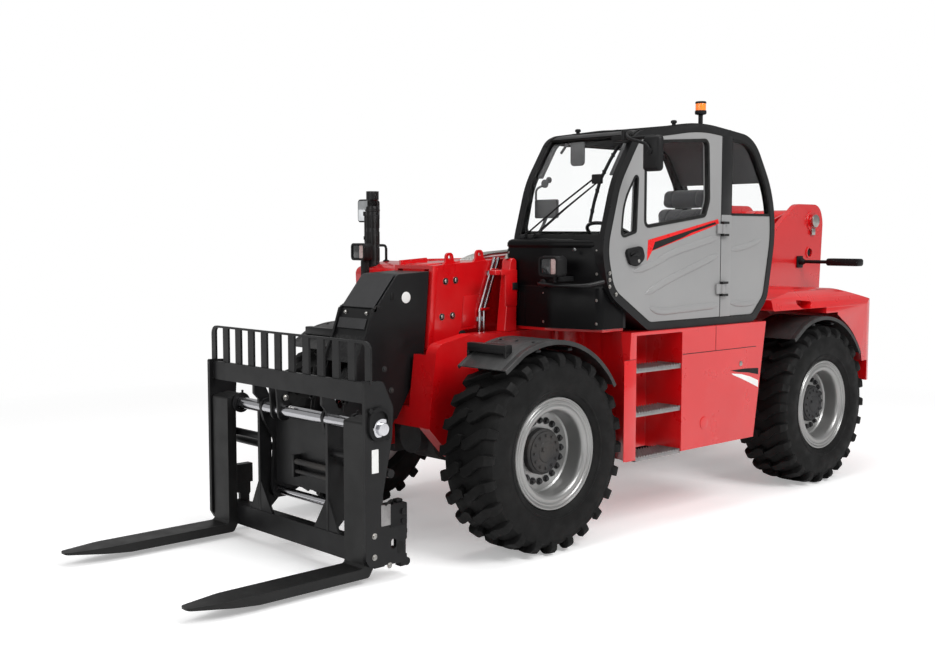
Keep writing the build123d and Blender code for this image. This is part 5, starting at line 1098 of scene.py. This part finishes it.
def boom_details():
    """Outer section: collar flanges with their bolts, the plates behind and on top, the hoses along
    the top with their clamps, the clamps of the side pipes, the hose bracket and the side cover."""
    top, rear, flange = BOOM_TOP, BOOM_END - 0.31, []
    for side in (1, -1):
        for half, out, rows in (
                (COLLAR_HALF, 0.006, [(BOOM_END - 0.05, top, 0), (BOOM_END - 0.002, top, 0),
                                      (BOOM_END + 0.082, -0.628, 0), (BOOM_END + 0.034, -0.628, 0)]),
                (BOOM_HALF, 0.004, [(rear - 0.23, -0.3, 0.01), (rear + 0.02, -0.3, 0.0), (rear + 0.05, -0.52, 0.0),
                                    (rear - 0.16, -0.52, 0.03)])):
            flange.append(panel(rows, side * (half - 0.002), side * (half + out)))
    flange += [box(rear - 0.03, BOOM_END - 0.03, -0.12, 0.12, top + 0.002, top + 0.01, 0.003),
               box(rear - 1.9, rear - 0.4, -0.06, 0.06, top - 0.002, top + 0.006, 0.003)]
    # hoses along the top from the heel to the collar, with clamps between
    hoses = [tube([(0.35, y, -0.01), (0.8, y, top + 0.032), (BOOM_END - 0.62, y, top + 0.032),
                   (BOOM_END - 0.54, y, top + 0.004)], 0.012, 0.12) for y in (-0.07, -0.035, 0.0, 0.035)]
    clamps = [box(u - 0.022, u + 0.022, -0.1, 0.065, top - 0.002, top + 0.05) for u in (1.1, 1.9, 2.7, 3.5)]
    for name, look, shapes in (("boom_collar_flanges", "red", flange), ("boom_hoses", "steel", hoses),
                               ("boom_hose_clamps", "plastic", clamps)):
        piece(name, look, on_boom(join(*shapes)), body="boom_outer")
    # collar bolts, on both sides
    spots = [(x, COLLAR_HALF, z) for x, z in ((1.762, 1.78), (1.667, 1.785), (1.797, 1.531), (1.697, 1.536))]
    washers = stamp(lathe([(0.022, 0), (0.022, 0.003), (0.01, 0.003)], sides=20), spots)
    # bracket of the hoses below the collar
    foot = panel([(1.575, 1.335, 0.01), (1.575, 1.425, 0.02), (1.635, 1.425, 0.02), (1.635, 1.335, 0.01)],
                 0.19, 0.215)
    for name, look, *shapes in (
            ("boom_collar_bolts", "steel", both(join(bolts(spots, 0.016, 0.012), washers))),
            ("pipe_clamps", "red", box(1.262, 1.33, 0.19, 0.232, 1.838, 1.862),
             box(1.35, 1.44, 0.19, 0.232, 1.56, 1.58)),
            ("hose_bulkhead", "plastic", foot, rod((1.604, 0.205, 1.385), 0.022, 0.04)),
            ("boom_side_cover", "steel",
             panel(rect(1.18, 1.525, 1.216, 1.62, 0.018), BOOM_HALF - 0.001, BOOM_HALF + 0.006))):
        piece(name, look, *shapes, body="boom_outer")


def head_plate(a, b, half, out, thick):
    """Plate between two places (x, z) of the head's front, set out along its normal."""
    a, b = np.array(a), np.array(b)
    run = unit(b - a)
    normal = np.array([-run[1], 0, run[0]]) * (1 if -run[1] > 0 else -1)
    base = np.array([(p[0], y, p[1]) for p, y in ((a, -half), (a, half), (b, half), (b, -half))]) + normal * out
    top = base + normal * thick
    return grid(np.stack([base, top - normal * 0.002, top + unit(base.mean(0) - base) * 0.003]))


def head_details():
    """Head of the inner section: smooth front panel, black bolt band, small lower panel, the blank
    disc, a dark plate painted as the shade in the oval hole, the edge flange of the side plates and
    the caps of the tilt pivot."""
    y = HEAD_HALF
    disc = lathe([(0.039, 0), (0.039, 0.0015), (0.035, 0.0025)], (2.106, y - 0.001, 1.678), "y", 36)
    # the hole isn't cut: a dark plate on the side stands for the shade inside it, painted shade
    hole = panel(rect(2.217, 1.662, 2.245, 1.714, 0.012), y - 0.001, y + 0.002)
    # flange along the front edge of both side plates
    edge = rounded([(2.187, 1.838, 0.05), (2.388, 1.596, 0.06), (2.443, 1.431, 0.12), (2.64, 1.02, 0.2),
                    (2.69, 0.56, 0.09)])[2:-1]
    heads = bolts([(2.3, y, 1.2), (2.42, y, 1.0), (2.24, y, 1.05)], 0.014, 0.01)
    cap = lathe([(0.052, 0), (0.052, 0.01), (0.044, 0.016), (0.012, 0.018)], (2.6, y, 0.5), "y", 36)
    for name, look, shape in (
            ("head_front_panel", "head_grey", head_plate((2.196, 1.832), (2.378, 1.612), 0.172, 0.004, 0.006)),
            ("head_lower_panel", "head_grey", head_plate((2.408, 1.54), (2.43, 1.47), 0.15, 0.004, 0.012)),
            ("head_band_bolts", "steel", bolts([(2.396, at, 1.58) for at in (-0.11, 0.12)], 0.009, 0.014, "x")),
            ("head_disc", "white", disc), ("head_hole_painted_shade", "seal", both(hole)),
            ("head_side_flanges", "black", both(strap(edge, 0.018, y - 0.014, y + 0.004))),
            ("head_side_bolts", "cast", both(heads)), ("tilt_pivot_caps", "cast", both(cap))):
        piece(name, look, shape, body="boom_inner_section")


def tower_details():
    """Tower: pin heads with keeper plates, the rim round the service hole and the rear mirror."""
    hole = -2.668
    head = join(lathe([(0.06, 0), (0.06, 0.014), (0.052, 0.02), (0.016, 0.022)], (-2.705, 0.432, 2.237), "y", 40),
                box(-2.735, -2.675, 0.412, 0.424, 2.105, 2.165, 0.003))
    ring = lathe([(0.056, 0.0), (0.056, 0.01), (0.04, 0.01), (0.04, 0.0)], (hole, 0.398, 1.94), "y", 36, True)
    plug = lathe([(0.039, 0), (0.039, 0.014), (0.03, 0.02), (0.008, 0.02)], (hole, 0.376, 1.94), "y", 36)
    piece("tower_pin_heads", "steel", both(head))
    piece("tower_hole_rims", "red", both(ring))
    piece("tower_hole_plugs", "seal", both(plug))
    piece("rear_mirror_housing", "plastic", panel(rect(0.7, 1.825, 1.02, 1.892, 0.02), -2.56, -2.455, "yz", 0.012),
          rod((-2.5, 0.56, 1.858), 0.016, 0.32), panel(rect(-2.55, 1.8, -2.45, 1.91, 0.01), 0.4, 0.412),
          lathe([(0.03, 0), (0.03, 0.03), (0.018, 0.05)], (-2.5, 0.412, 1.858), "y", 24), replaces="rear_mirror")
    piece("rear_mirror_glass", "mirror",
          panel(rect(0.712, 1.835, 1.008, 1.882, 0.014), -2.5625, -2.5585, "yz", 0.001))


# ------------------------------------------------------------ fork carriage
SHAFT = (2.9, 0.945)


def carriage_details():
    """Carriage: end bosses with the shaft's bright ends, blank plates, valve block with its lead,
    dark plates painted as the shade in the slots of the foot, hangers of the shaft, cross tubes, the
    chrome pin and the fork collars."""
    y, (x, z) = 0.895, SHAFT
    oblong = rounded(rect(2.838, 0.872, 3.0, 1.08, 0.078), 10)
    boss = join(ring_strip(inset(oblong, 0.012), 0.012, y - 0.002, y + 0.02),
                prism(inset(oblong, 0.02), y - 0.001, y + 0.003), rod((2.985, y + 0.01, 1.06), 0.016, 0.02),
                rod((2.856, y + 0.01, 0.89), 0.014, 0.02))
    end = lathe([(0.041, 0), (0.041, 0.026), (0.037, 0.031), (0.01, 0.032)], (x, y, z), "y", 40)
    valve = [box(2.7, 2.838, y - 0.085, y + 0.006, 0.33, 0.472, 0.008),
             box(2.715, 2.765, y - 0.065, y - 0.02, 0.47, 0.492, 0.006),
             rod((2.735, y + 0.01, 0.42), 0.02, 0.02), rod((2.74, y + 0.008, 0.36), 0.014, 0.016),
             tube([(2.8, y - 0.02, 0.47), (2.815, y, 0.505), (2.85, y + 0.008, 0.5), (2.872, y + 0.006, 0.475)],
                  0.006, 0.02, 8),
             tube([(2.71, y - 0.03, 0.34), (2.685, y - 0.02, 0.3), (2.69, y - 0.02, 0.275)], 0.006, 0.02, 8)]
    hangers = [panel([(2.85, 0.88, 0.04), (2.95, 0.88, 0.04), (2.966, 1.11, 0.01), (2.88, 1.11, 0.01)],
                     at - 0.01, at + 0.01) for at in (-0.205, -0.125)]
    hangers += [rod((2.905, -0.165, 1.035), 0.016, 0.125)]
    hangers += [rod((2.8, at, 0.655), 0.028, 0.466) for at in (0.634, -0.634)]
    for name, look, *shapes in (
            ("shaft_end_bosses", "plastic", both(boss)), ("shaft_ends", "chrome", both(end)),
            ("blank_plates", "white",
             panel(rect(2.921, 0.682, 2.972, 0.825, 0.003), y - 0.001, y + 0.0015, bevel=0.0004),
             panel(rect(2.962, 0.938, 2.98, 0.956, 0.002), y + 0.002, y + 0.005, bevel=0.0004)),
            ("valve_mount_plate", "zinc", panel(rect(2.83, 0.35, 2.905, 0.48, 0.006), y - 0.001, y + 0.005)),
            ("valve_block", "plastic", *valve),
            ("valve_label", "white", box(2.696, 2.7, y - 0.045, y - 0.02, 0.4, 0.425, 0.001)),
            # the slots aren't cut: dark plates stand for the shade inside them, painted shade
            ("foot_slots", "seal",
             both(panel(rect(2.732, 0.155, 2.776, 0.236, 0.02), y - 0.001, y + 0.0015, bevel=0.0004))),
            ("foot_bolts", "steel", both(bolts([(2.84, y, 0.1), (2.955, y, 0.17), (2.955, y, 0.3)], 0.012, 0.01))),
            ("shaft_hangers", "black", *hangers),
            ("side_shift_rods", "cast", rod((2.862, 0.15, 0.61), 0.019, 0.44), rod((2.862, 0.15, 0.545), 0.013, 0.44)),
            ("side_shift_brackets", "black", *(box(2.83, 2.885, at - 0.012, at + 0.012, 0.505, 0.655, 0.005)
                                               for at in (-0.06, 0.36))),
            ("hanger_nuts", "steel", bolts([(2.905, -0.102, 1.035)], 0.014, 0.012)),
            ("coupler_pin_sleeve", "chrome", rod((2.81, 0.0, 0.37), 0.0275, 0.67))):
        piece(name, look, *shapes, body="carriage")
    # body and side of the collar beside each fork's eye
    ring = ((0.042, -0.008), (0.066, -0.008), (0.07, -0.004), (0.07, 0.004), (0.066, 0.008), (0.042, 0.008))
    for body, side in (("left_fork", 1), ("right_fork", -1)):
        piece(body + "_collar", "plastic", lathe(ring, (x, side * 0.653, z), "y", 40, True),
              rod((x - 0.01, side * 0.653, z + 0.072), 0.008, 0.03, "z"), body=body)


def post_fittings():
    """Bracket from the side post towards the boom, its rubber clamp and the capped bolt on top."""
    arm = panel([(1.3, 1.6, 0.01), (1.42, 1.6, 0.01), (1.42, 1.82, 0.01), (1.46, 1.82, 0.01), (1.46, 1.86, 0.01),
                 (1.3, 1.86, 0.01)], 0.446, 0.456)
    piece("side_post_bracket", "red", box(1.3, 1.5, 0.372, 0.44, 1.822, 1.858, 0.006), arm)
    piece("side_post_clamp", "plastic", box(1.3, 1.35, 0.44, 0.468, 1.715, 1.768, 0.008))
    piece("side_post_cap", "steel", lathe([(0.02, 0), (0.02, 0.008), (0.013, 0.01), (0.013, 0.026), (0.006, 0.03)],
                                          (1.36, 0.41, 1.938), "z", 24))


# ------------------------------------------------------------ sides, steps and tail
SIDE_OUT = 1.2


def side_box_details():
    """Left side box: grooves between its panels, the plain two-colour stripe, lock, cap and the edge
    strip at its front beside the step recess; on the right, grooves, cap and handle."""
    y = SIDE_OUT
    # rows: a groove's reach along x and z, on the left and then on the right
    left = ((-0.594, 0.345, 1.238, 1.243), (0.875, 0.99, 1.238, 1.243), (-0.0645, -0.0605, 1.243, 1.428))
    right = ((-0.594, 0.12, 1.238, 1.243), (0.125, 0.95, 1.238, 1.243), (0.12, 0.125, 0.545, 1.243))
    seams = [box(x0, x1, y - 0.001, y + 0.0012, z0, z1, 0.0004) for x0, x1, z0, z1 in left]
    seams += [box(x0, x1, -y - 0.0012, -y + 0.001, z0, z1, 0.0004) for x0, x1, z0, z1 in right]
    piece("side_box_gaps", "seal", *seams)
    piece("side_box_lips", "red", box(0.874, 1.004, y - 0.002, y + 0.0025, 0.535, 1.24, 0.001))
    # stripe: a black band over a pale one, which swings down towards the box's rear edge
    black = ((-0.255, 1.075), (-0.45, 1.077), (-0.632, 1.068), (-0.632, 1.017), (-0.492, 1.043), (-0.357, 1.056))
    pale = ((-0.271, 1.052), (-0.398, 1.038), (-0.52, 1.009), (-0.632, 0.97), (-0.633, 0.916), (-0.522, 0.959),
            (-0.399, 1.004), (-0.305, 1.034))
    for name, rows, look, slot in (("side_stripe_black", black, "seal", "black_paint"),
                                   ("side_stripe_white", pale, "white", "grey_paint")):
        piece(name, look, prism(np.array(rows), y - 0.001, y + 0.001), slot=slot)
    lock = lathe([(0.02, 0), (0.02, 0.004), (0.014, 0.006)], (-0.39, y, 1.12), "y", 24)
    piece("side_box_lock", "steel", both(lock))
    cap = lathe([(0.048, 0), (0.048, 0.003), (0.042, 0.0045), (0.012, 0.005)], (0.074, y, 0.71), "y", 40)
    piece("side_box_plug", "red", cap)
    handle = tube([(0.3, -y, 1.13), (0.3, -y - 0.03, 1.13), (0.46, -y - 0.03, 1.13), (0.46, -y, 1.13)], 0.008, 0.015)
    fuel = lathe([(0.055, 0), (0.055, 0.014), (0.044, 0.026), (0.012, 0.028)], (0.7, y - 0.002, 1.33), "y", 40)
    piece("tank_cap_and_handle", "plastic", handle, mirrored(fuel))


def step_treads():
    """Galvanised step treads: serrated bars on edge between end plates, with cross rods."""
    x0, x1, y0, y1, drop, teeth = 0.352, 0.868, 0.99, 1.192, 0.038, 17
    xs = np.linspace(x0, x1, 2 * teeth + 1)
    parts = []
    for top in (0.555, 0.87, 1.18):
        zs = np.where(np.arange(len(xs)) % 2 == 0, top - 0.015, top)
        line = np.concatenate([np.stack([xs, zs], 1), [(x1, top - drop), (x0, top - drop)]])[::-1]
        parts += [prism(line, y - 0.0022, y + 0.0022) for y in np.linspace(y0 + 0.003, y1 - 0.003, 8)]
        parts += [box(x, x + 0.005, y0, y1, top - drop, top - 0.004, 0.001) for x in (x0, x1 - 0.005)]
        parts += [rod((x, (y0 + y1) / 2, top - 0.022), 0.0035, y1 - y0 - 0.004)
                  for x in np.linspace(x0 + 0.08, x1 - 0.08, 6)]
        parts.append(box(x0, x1, y1 - 0.004, y1, top - drop, top - 0.016, 0.001))
    piece("step_treads", "zinc", *parts, replaces="cab_steps")


def tail_details():
    """Counterweight: tail lamps in black housings, and the tow pin with its grip."""
    x = -2.865
    for y0, y1, name in ((0.17, 0.42, "left"), (-0.42, -0.17, "right")):
        mid = (y0 + y1) / 2
        piece("tail_lamp_housing_" + name, "plastic", panel(rect(y0, 1.27, y1, 1.37, 0.02), x - 0.012, x + 0.01, "yz"))
        piece("tail_lamp_red_" + name, "red_lens", box(x - 0.018, x - 0.008, y0 + 0.01, mid - 0.004, 1.28, 1.36))
        piece("tail_lamp_amber_" + name, "amber", box(x - 0.018, x - 0.008, mid + 0.004, y1 - 0.01, 1.28, 1.36))
    grip = tube([(-2.8, -0.05, 1.175), (-2.8, -0.03, 1.205), (-2.8, 0.03, 1.205), (-2.8, 0.05, 1.175)], 0.007, 0.02, 8)
    piece("tow_pin", "steel", rod((-2.8, 0, 1.075), 0.018, 0.2, "z"), grip)


# ------------------------------------------------------------ right side
def right_lamp():
    """Right work lamp on its post: box housing, rim, split reflector and lens, as on the left."""
    x0, x1, y0, y1, z0, z1 = 1.5, 1.59, -1.11, -0.94, 1.905, 2.04
    outline = rounded(rect(y0, z0, y1, z1, 0.03))
    piece("work_lamp_right_housing", "plastic", prism(outline, x0, x1 - 0.012, "yz", 0.012),
          ring_strip(inset(outline, 0.008), 0.008, x1 - 0.018, x1, "yz"),
          panel(rect(-1.05, 1.76, -1.0, 1.905, 0.01), 1.492, 1.54, "yz"),
          rod((1.52, -1.025, 1.905), 0.022, 0.024, "z"))
    lamp_halves("right", x1, y0, -1.01, y1, z0, z1, 0.016, 0.002, 0.005, 0.003)


def right_mirrors():
    """Right mirror on the bent stalk from the engine bay."""
    x0, x1 = 1.14, 1.205
    stalk = tube([(1.215, -1.13, 1.85), (1.215, -1.13, 2.02), (1.215, -1.4, 2.02), (1.215, -1.4, 2.29)],
                 0.011, 0.035)
    mirror("right", rounded(rect(-1.52, 2.21, -1.28, 2.4, 0.03)),
           ((x0, 0.024), (x0 + 0.012, 0.01), (x0 + 0.03, 0.0), (x1 - 0.004, 0.0), (x1 - 0.001, 0.004)),
           (0.012, x1 - 0.002, x1 + 0.002), stalk, box(1.19, 1.226, -1.42, -1.38, 2.262, 2.298),
           rod((1.215, -1.4, 2.08), 0.017, 0.03, "z"),
           lathe([(0.026, 0), (0.026, 0.008), (0.014, 0.014)], (1.215, -1.13, 1.89), "z", 20))


def exhaust():
    """Exhaust stack: heat guard over the lower pipe, its slots dark boxes painted as the shade in them,
    clamp rings and the wider outlet.
    """
    x, y = 1.416, -1.05
    foot = (x, y, 0)
    low = lathe([(0.055, 1.8), (0.055, 1.84), (0.0535, 1.845), (0.0535, 2.315), (0.05, 2.33), (0.042, 2.331),
                 (0.042, 2.4)], foot, "z")
    out = lathe([(0.04, 2.33), (0.042, 2.335), (0.042, 2.375), (0.05, 2.385), (0.05, 2.45), (0.045, 2.45),
                 (0.045, 2.392), (0.036, 2.392)], foot, "z")
    bands = [lathe([(0.054, z), (0.059, z + 0.002), (0.059, z + 0.016), (0.054, z + 0.018)], foot, "z")
             for z in (1.85, 2.29)]
    piece("exhaust_pipe", "black", low, out, *bands, replaces="exhaust_stack")
    # the slots aren't cut: dark boxes on the guard stand for the shade inside them, painted shade
    slots = spin(box(x + 0.0525, x + 0.0555, y - 0.006, y + 0.006, 1.9, 2.0, 0.001), 12, foot, "z")
    piece("exhaust_guard_slots_painted_shade", "seal", *(moved(slots, (0, 0, dz)) for dz in (0.0, 0.13, 0.26)))


def hood_details():
    """Engine hood: latches, pressed lines along its side and top, and the lip under it."""
    y = -1.17
    latches = [panel([(x - 0.035, 1.5, 0.01), (x + 0.035, 1.5, 0.01), (x + 0.035, 1.56, 0.02),
                      (x - 0.035, 1.56, 0.02)], y - 0.006, y + 0.002) for x in (-0.45, 0.75)]
    piece("hood_latches", "plastic", *latches, body="hood")
    lines = [ridge([(0.0, y, z), (1.02, y, z)], 0.03, 0.005, fade=0.12) for z in (1.6, 1.7)]
    lines += [ridge([(-0.7, row, 1.895), (1.0, row, 1.895)], 0.03, 0.005, fade=0.12)
              for row in (-0.65, -0.82, -0.99)]
    lip = box(-0.85, 1.13, y - 0.003, y + 0.002, 1.47, 1.486, 0.002)
    piece("hood_pressings", "red", *lines, lip, body="hood")


# ------------------------------------------------------------ stage
FLOOR_HALF = 60.0
FADE_FROM, FADE_TO = 5.5, 9.0       # distances over which the floor turns into white
CAMERA, HEADING, FALL, LENS = (7.279, 6.367, 2.102), 227.09, 4.62, 45.36
# rows: lamp, place, aimed at, power, size
LAMPS = (("key", (0.5, 8.5, 8.0), (0.0, 0.5, 1.0), 720.0, 5.0),
         ("fill", (11.0, 1.0, 5.0), (0.5, 0.0, 1.2), 260.0, 6.0),
         ("top", (0.0, 0.0, 11.0), (0.0, 0.0, 0.0), 420.0, 7.0))


def aimed(obj, direction):
    obj.rotation_euler = Vector(direction).to_track_quat("-Z", "Y").to_euler()
    return obj


def stage():
    """Pale floor that fades into white, white surroundings, a wide soft key lamp on the left, a
    weak fill in front, and the camera."""
    mesh = bpy.data.meshes.new("floor")
    corners = [(FLOOR_HALF * a, FLOOR_HALF * b, 0) for a, b in ((-1, -1), (1, -1), (1, 1), (-1, 1))]
    mesh.from_pydata(corners, [], [(0, 1, 2, 3)])
    floor = add("floor", mesh)
    f = Finish("studio_floor", Roughness=0.9, Specular_IOR_Level=0.1, Base_Color=(0.9, 0.9, 0.9, 1),
               Emission_Color=WHITE)
    seen, glossy, through = (f.node("LightPath", "Is %s Ray" % kind) for kind in ("Camera", "Glossy", "Transmission"))
    f.put(Emission_Strength=f.math("MULTIPLY", seen, 0.32))
    far = f.ramp(f.node("VectorMath", "Value", {0: f.place}, operation="LENGTH"), FADE_FROM, FADE_TO)
    fade = f.math("MULTIPLY", far, f.math("MAXIMUM", seen, f.math("MAXIMUM", glossy, through)))
    lit = f.tree.nodes["Principled BSDF"].outputs[0]
    white = f.node("Emission", 0, {"Color": WHITE})
    f.feed(f.tree.nodes["Material Output"].inputs["Surface"], f.blend(fade, lit, white))
    mesh.materials.append(f.material)

    scene = bpy.context.scene
    scene.world = bpy.data.worlds.new("studio")
    scene.world.use_nodes = True
    sky = Nodes(scene.world.node_tree)
    shown = sky.math("MAXIMUM", *(sky.node("LightPath", "Is %s Ray" % kind) for kind in ("Camera", "Transmission")))
    dim, bright = (sky.node("Background", 0, {"Color": WHITE, "Strength": power}) for power in (0.42, 1.0))
    sky.feed(sky.tree.nodes["World Output"].inputs["Surface"], sky.blend(shown, dim, bright))

    for name, place, target, power, wide in LAMPS:
        data = bpy.data.lights.new(name, "AREA")
        data.energy, data.size = power, wide
        lamp = aimed(add(name, data), Vector(target) - Vector(place))
        lamp.location = place

    data = bpy.data.cameras.new("camera")
    data.sensor_width, data.lens, data.clip_end = 36.0, LENS, 200.0
    turn, fall = radians(HEADING), radians(FALL)
    scene.camera = aimed(add("camera", data), (cos(turn) * cos(fall), sin(turn) * cos(fall), -sin(fall)))
    scene.camera.location = Vector(CAMERA) + Vector((MID_X, 0, 0))
    scene.view_settings.view_transform = "Standard"


for part in (wheels, cab_shell, cab_nose, door_trim, wiper, head_lamp, left_mirror, roof_trim, cab_lining,
             controls, seat, boom_details, head_details, tower_details, carriage_details, post_fittings,
             side_box_details, step_treads, tail_details, right_lamp, right_mirrors, exhaust, hood_details):
    part()
# rows: body, finish, then its nodes with the rounding of their edges
for body, look, nodes in (
        ("chassis", "red", {"chassis_frame": 0.006, "boom_tower": 0.008, "counterweight": 0.02,
                            "left_side_box": 0.008, "engine_bay": 0.008, "side_post": 0.006}),
        ("chassis", "cast", {"front_axle": 0.008, "rear_axle": 0.008, "engine_block": 0.02}),
        ("hood", "red", {"engine_hood": 0.01}), ("hood", "plastic", {"hood_grille": 0.003}),
        ("boom_outer", "red", {"boom_base": 0.008}), ("boom_inner_section", "inner_boom", {"boom_inner": 0.006}),
        ("boom_inner_section", "black", {"head_cover": 0.006}),
        ("carriage", "black", {"coupler": 0.005, "carriage_frame": 0.004}),
        ("left_fork", "fork", {"fork_left": 0.004}), ("right_fork", "fork", {"fork_right": 0.004}),
        ("tilt_cylinder_barrel", "black", {"tilt_barrel": 0.004}), ("lift_barrels", "black", {"lift_barrel": 0.004})):
    for node, width in nodes.items():
        eased(node, body, look, width)
# CAD nodes that stay in view with a finish of their own
for look, nodes in (("glass", ("cab_glass", "door_glass")),
                    ("chrome", ("boom_pipes", "lift_rod", "tilt_rod", "fork_shaft"))):
    for node in nodes:
        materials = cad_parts[node].data.materials
        materials.clear()
        materials.append(LOOKS[look][0])
stage()
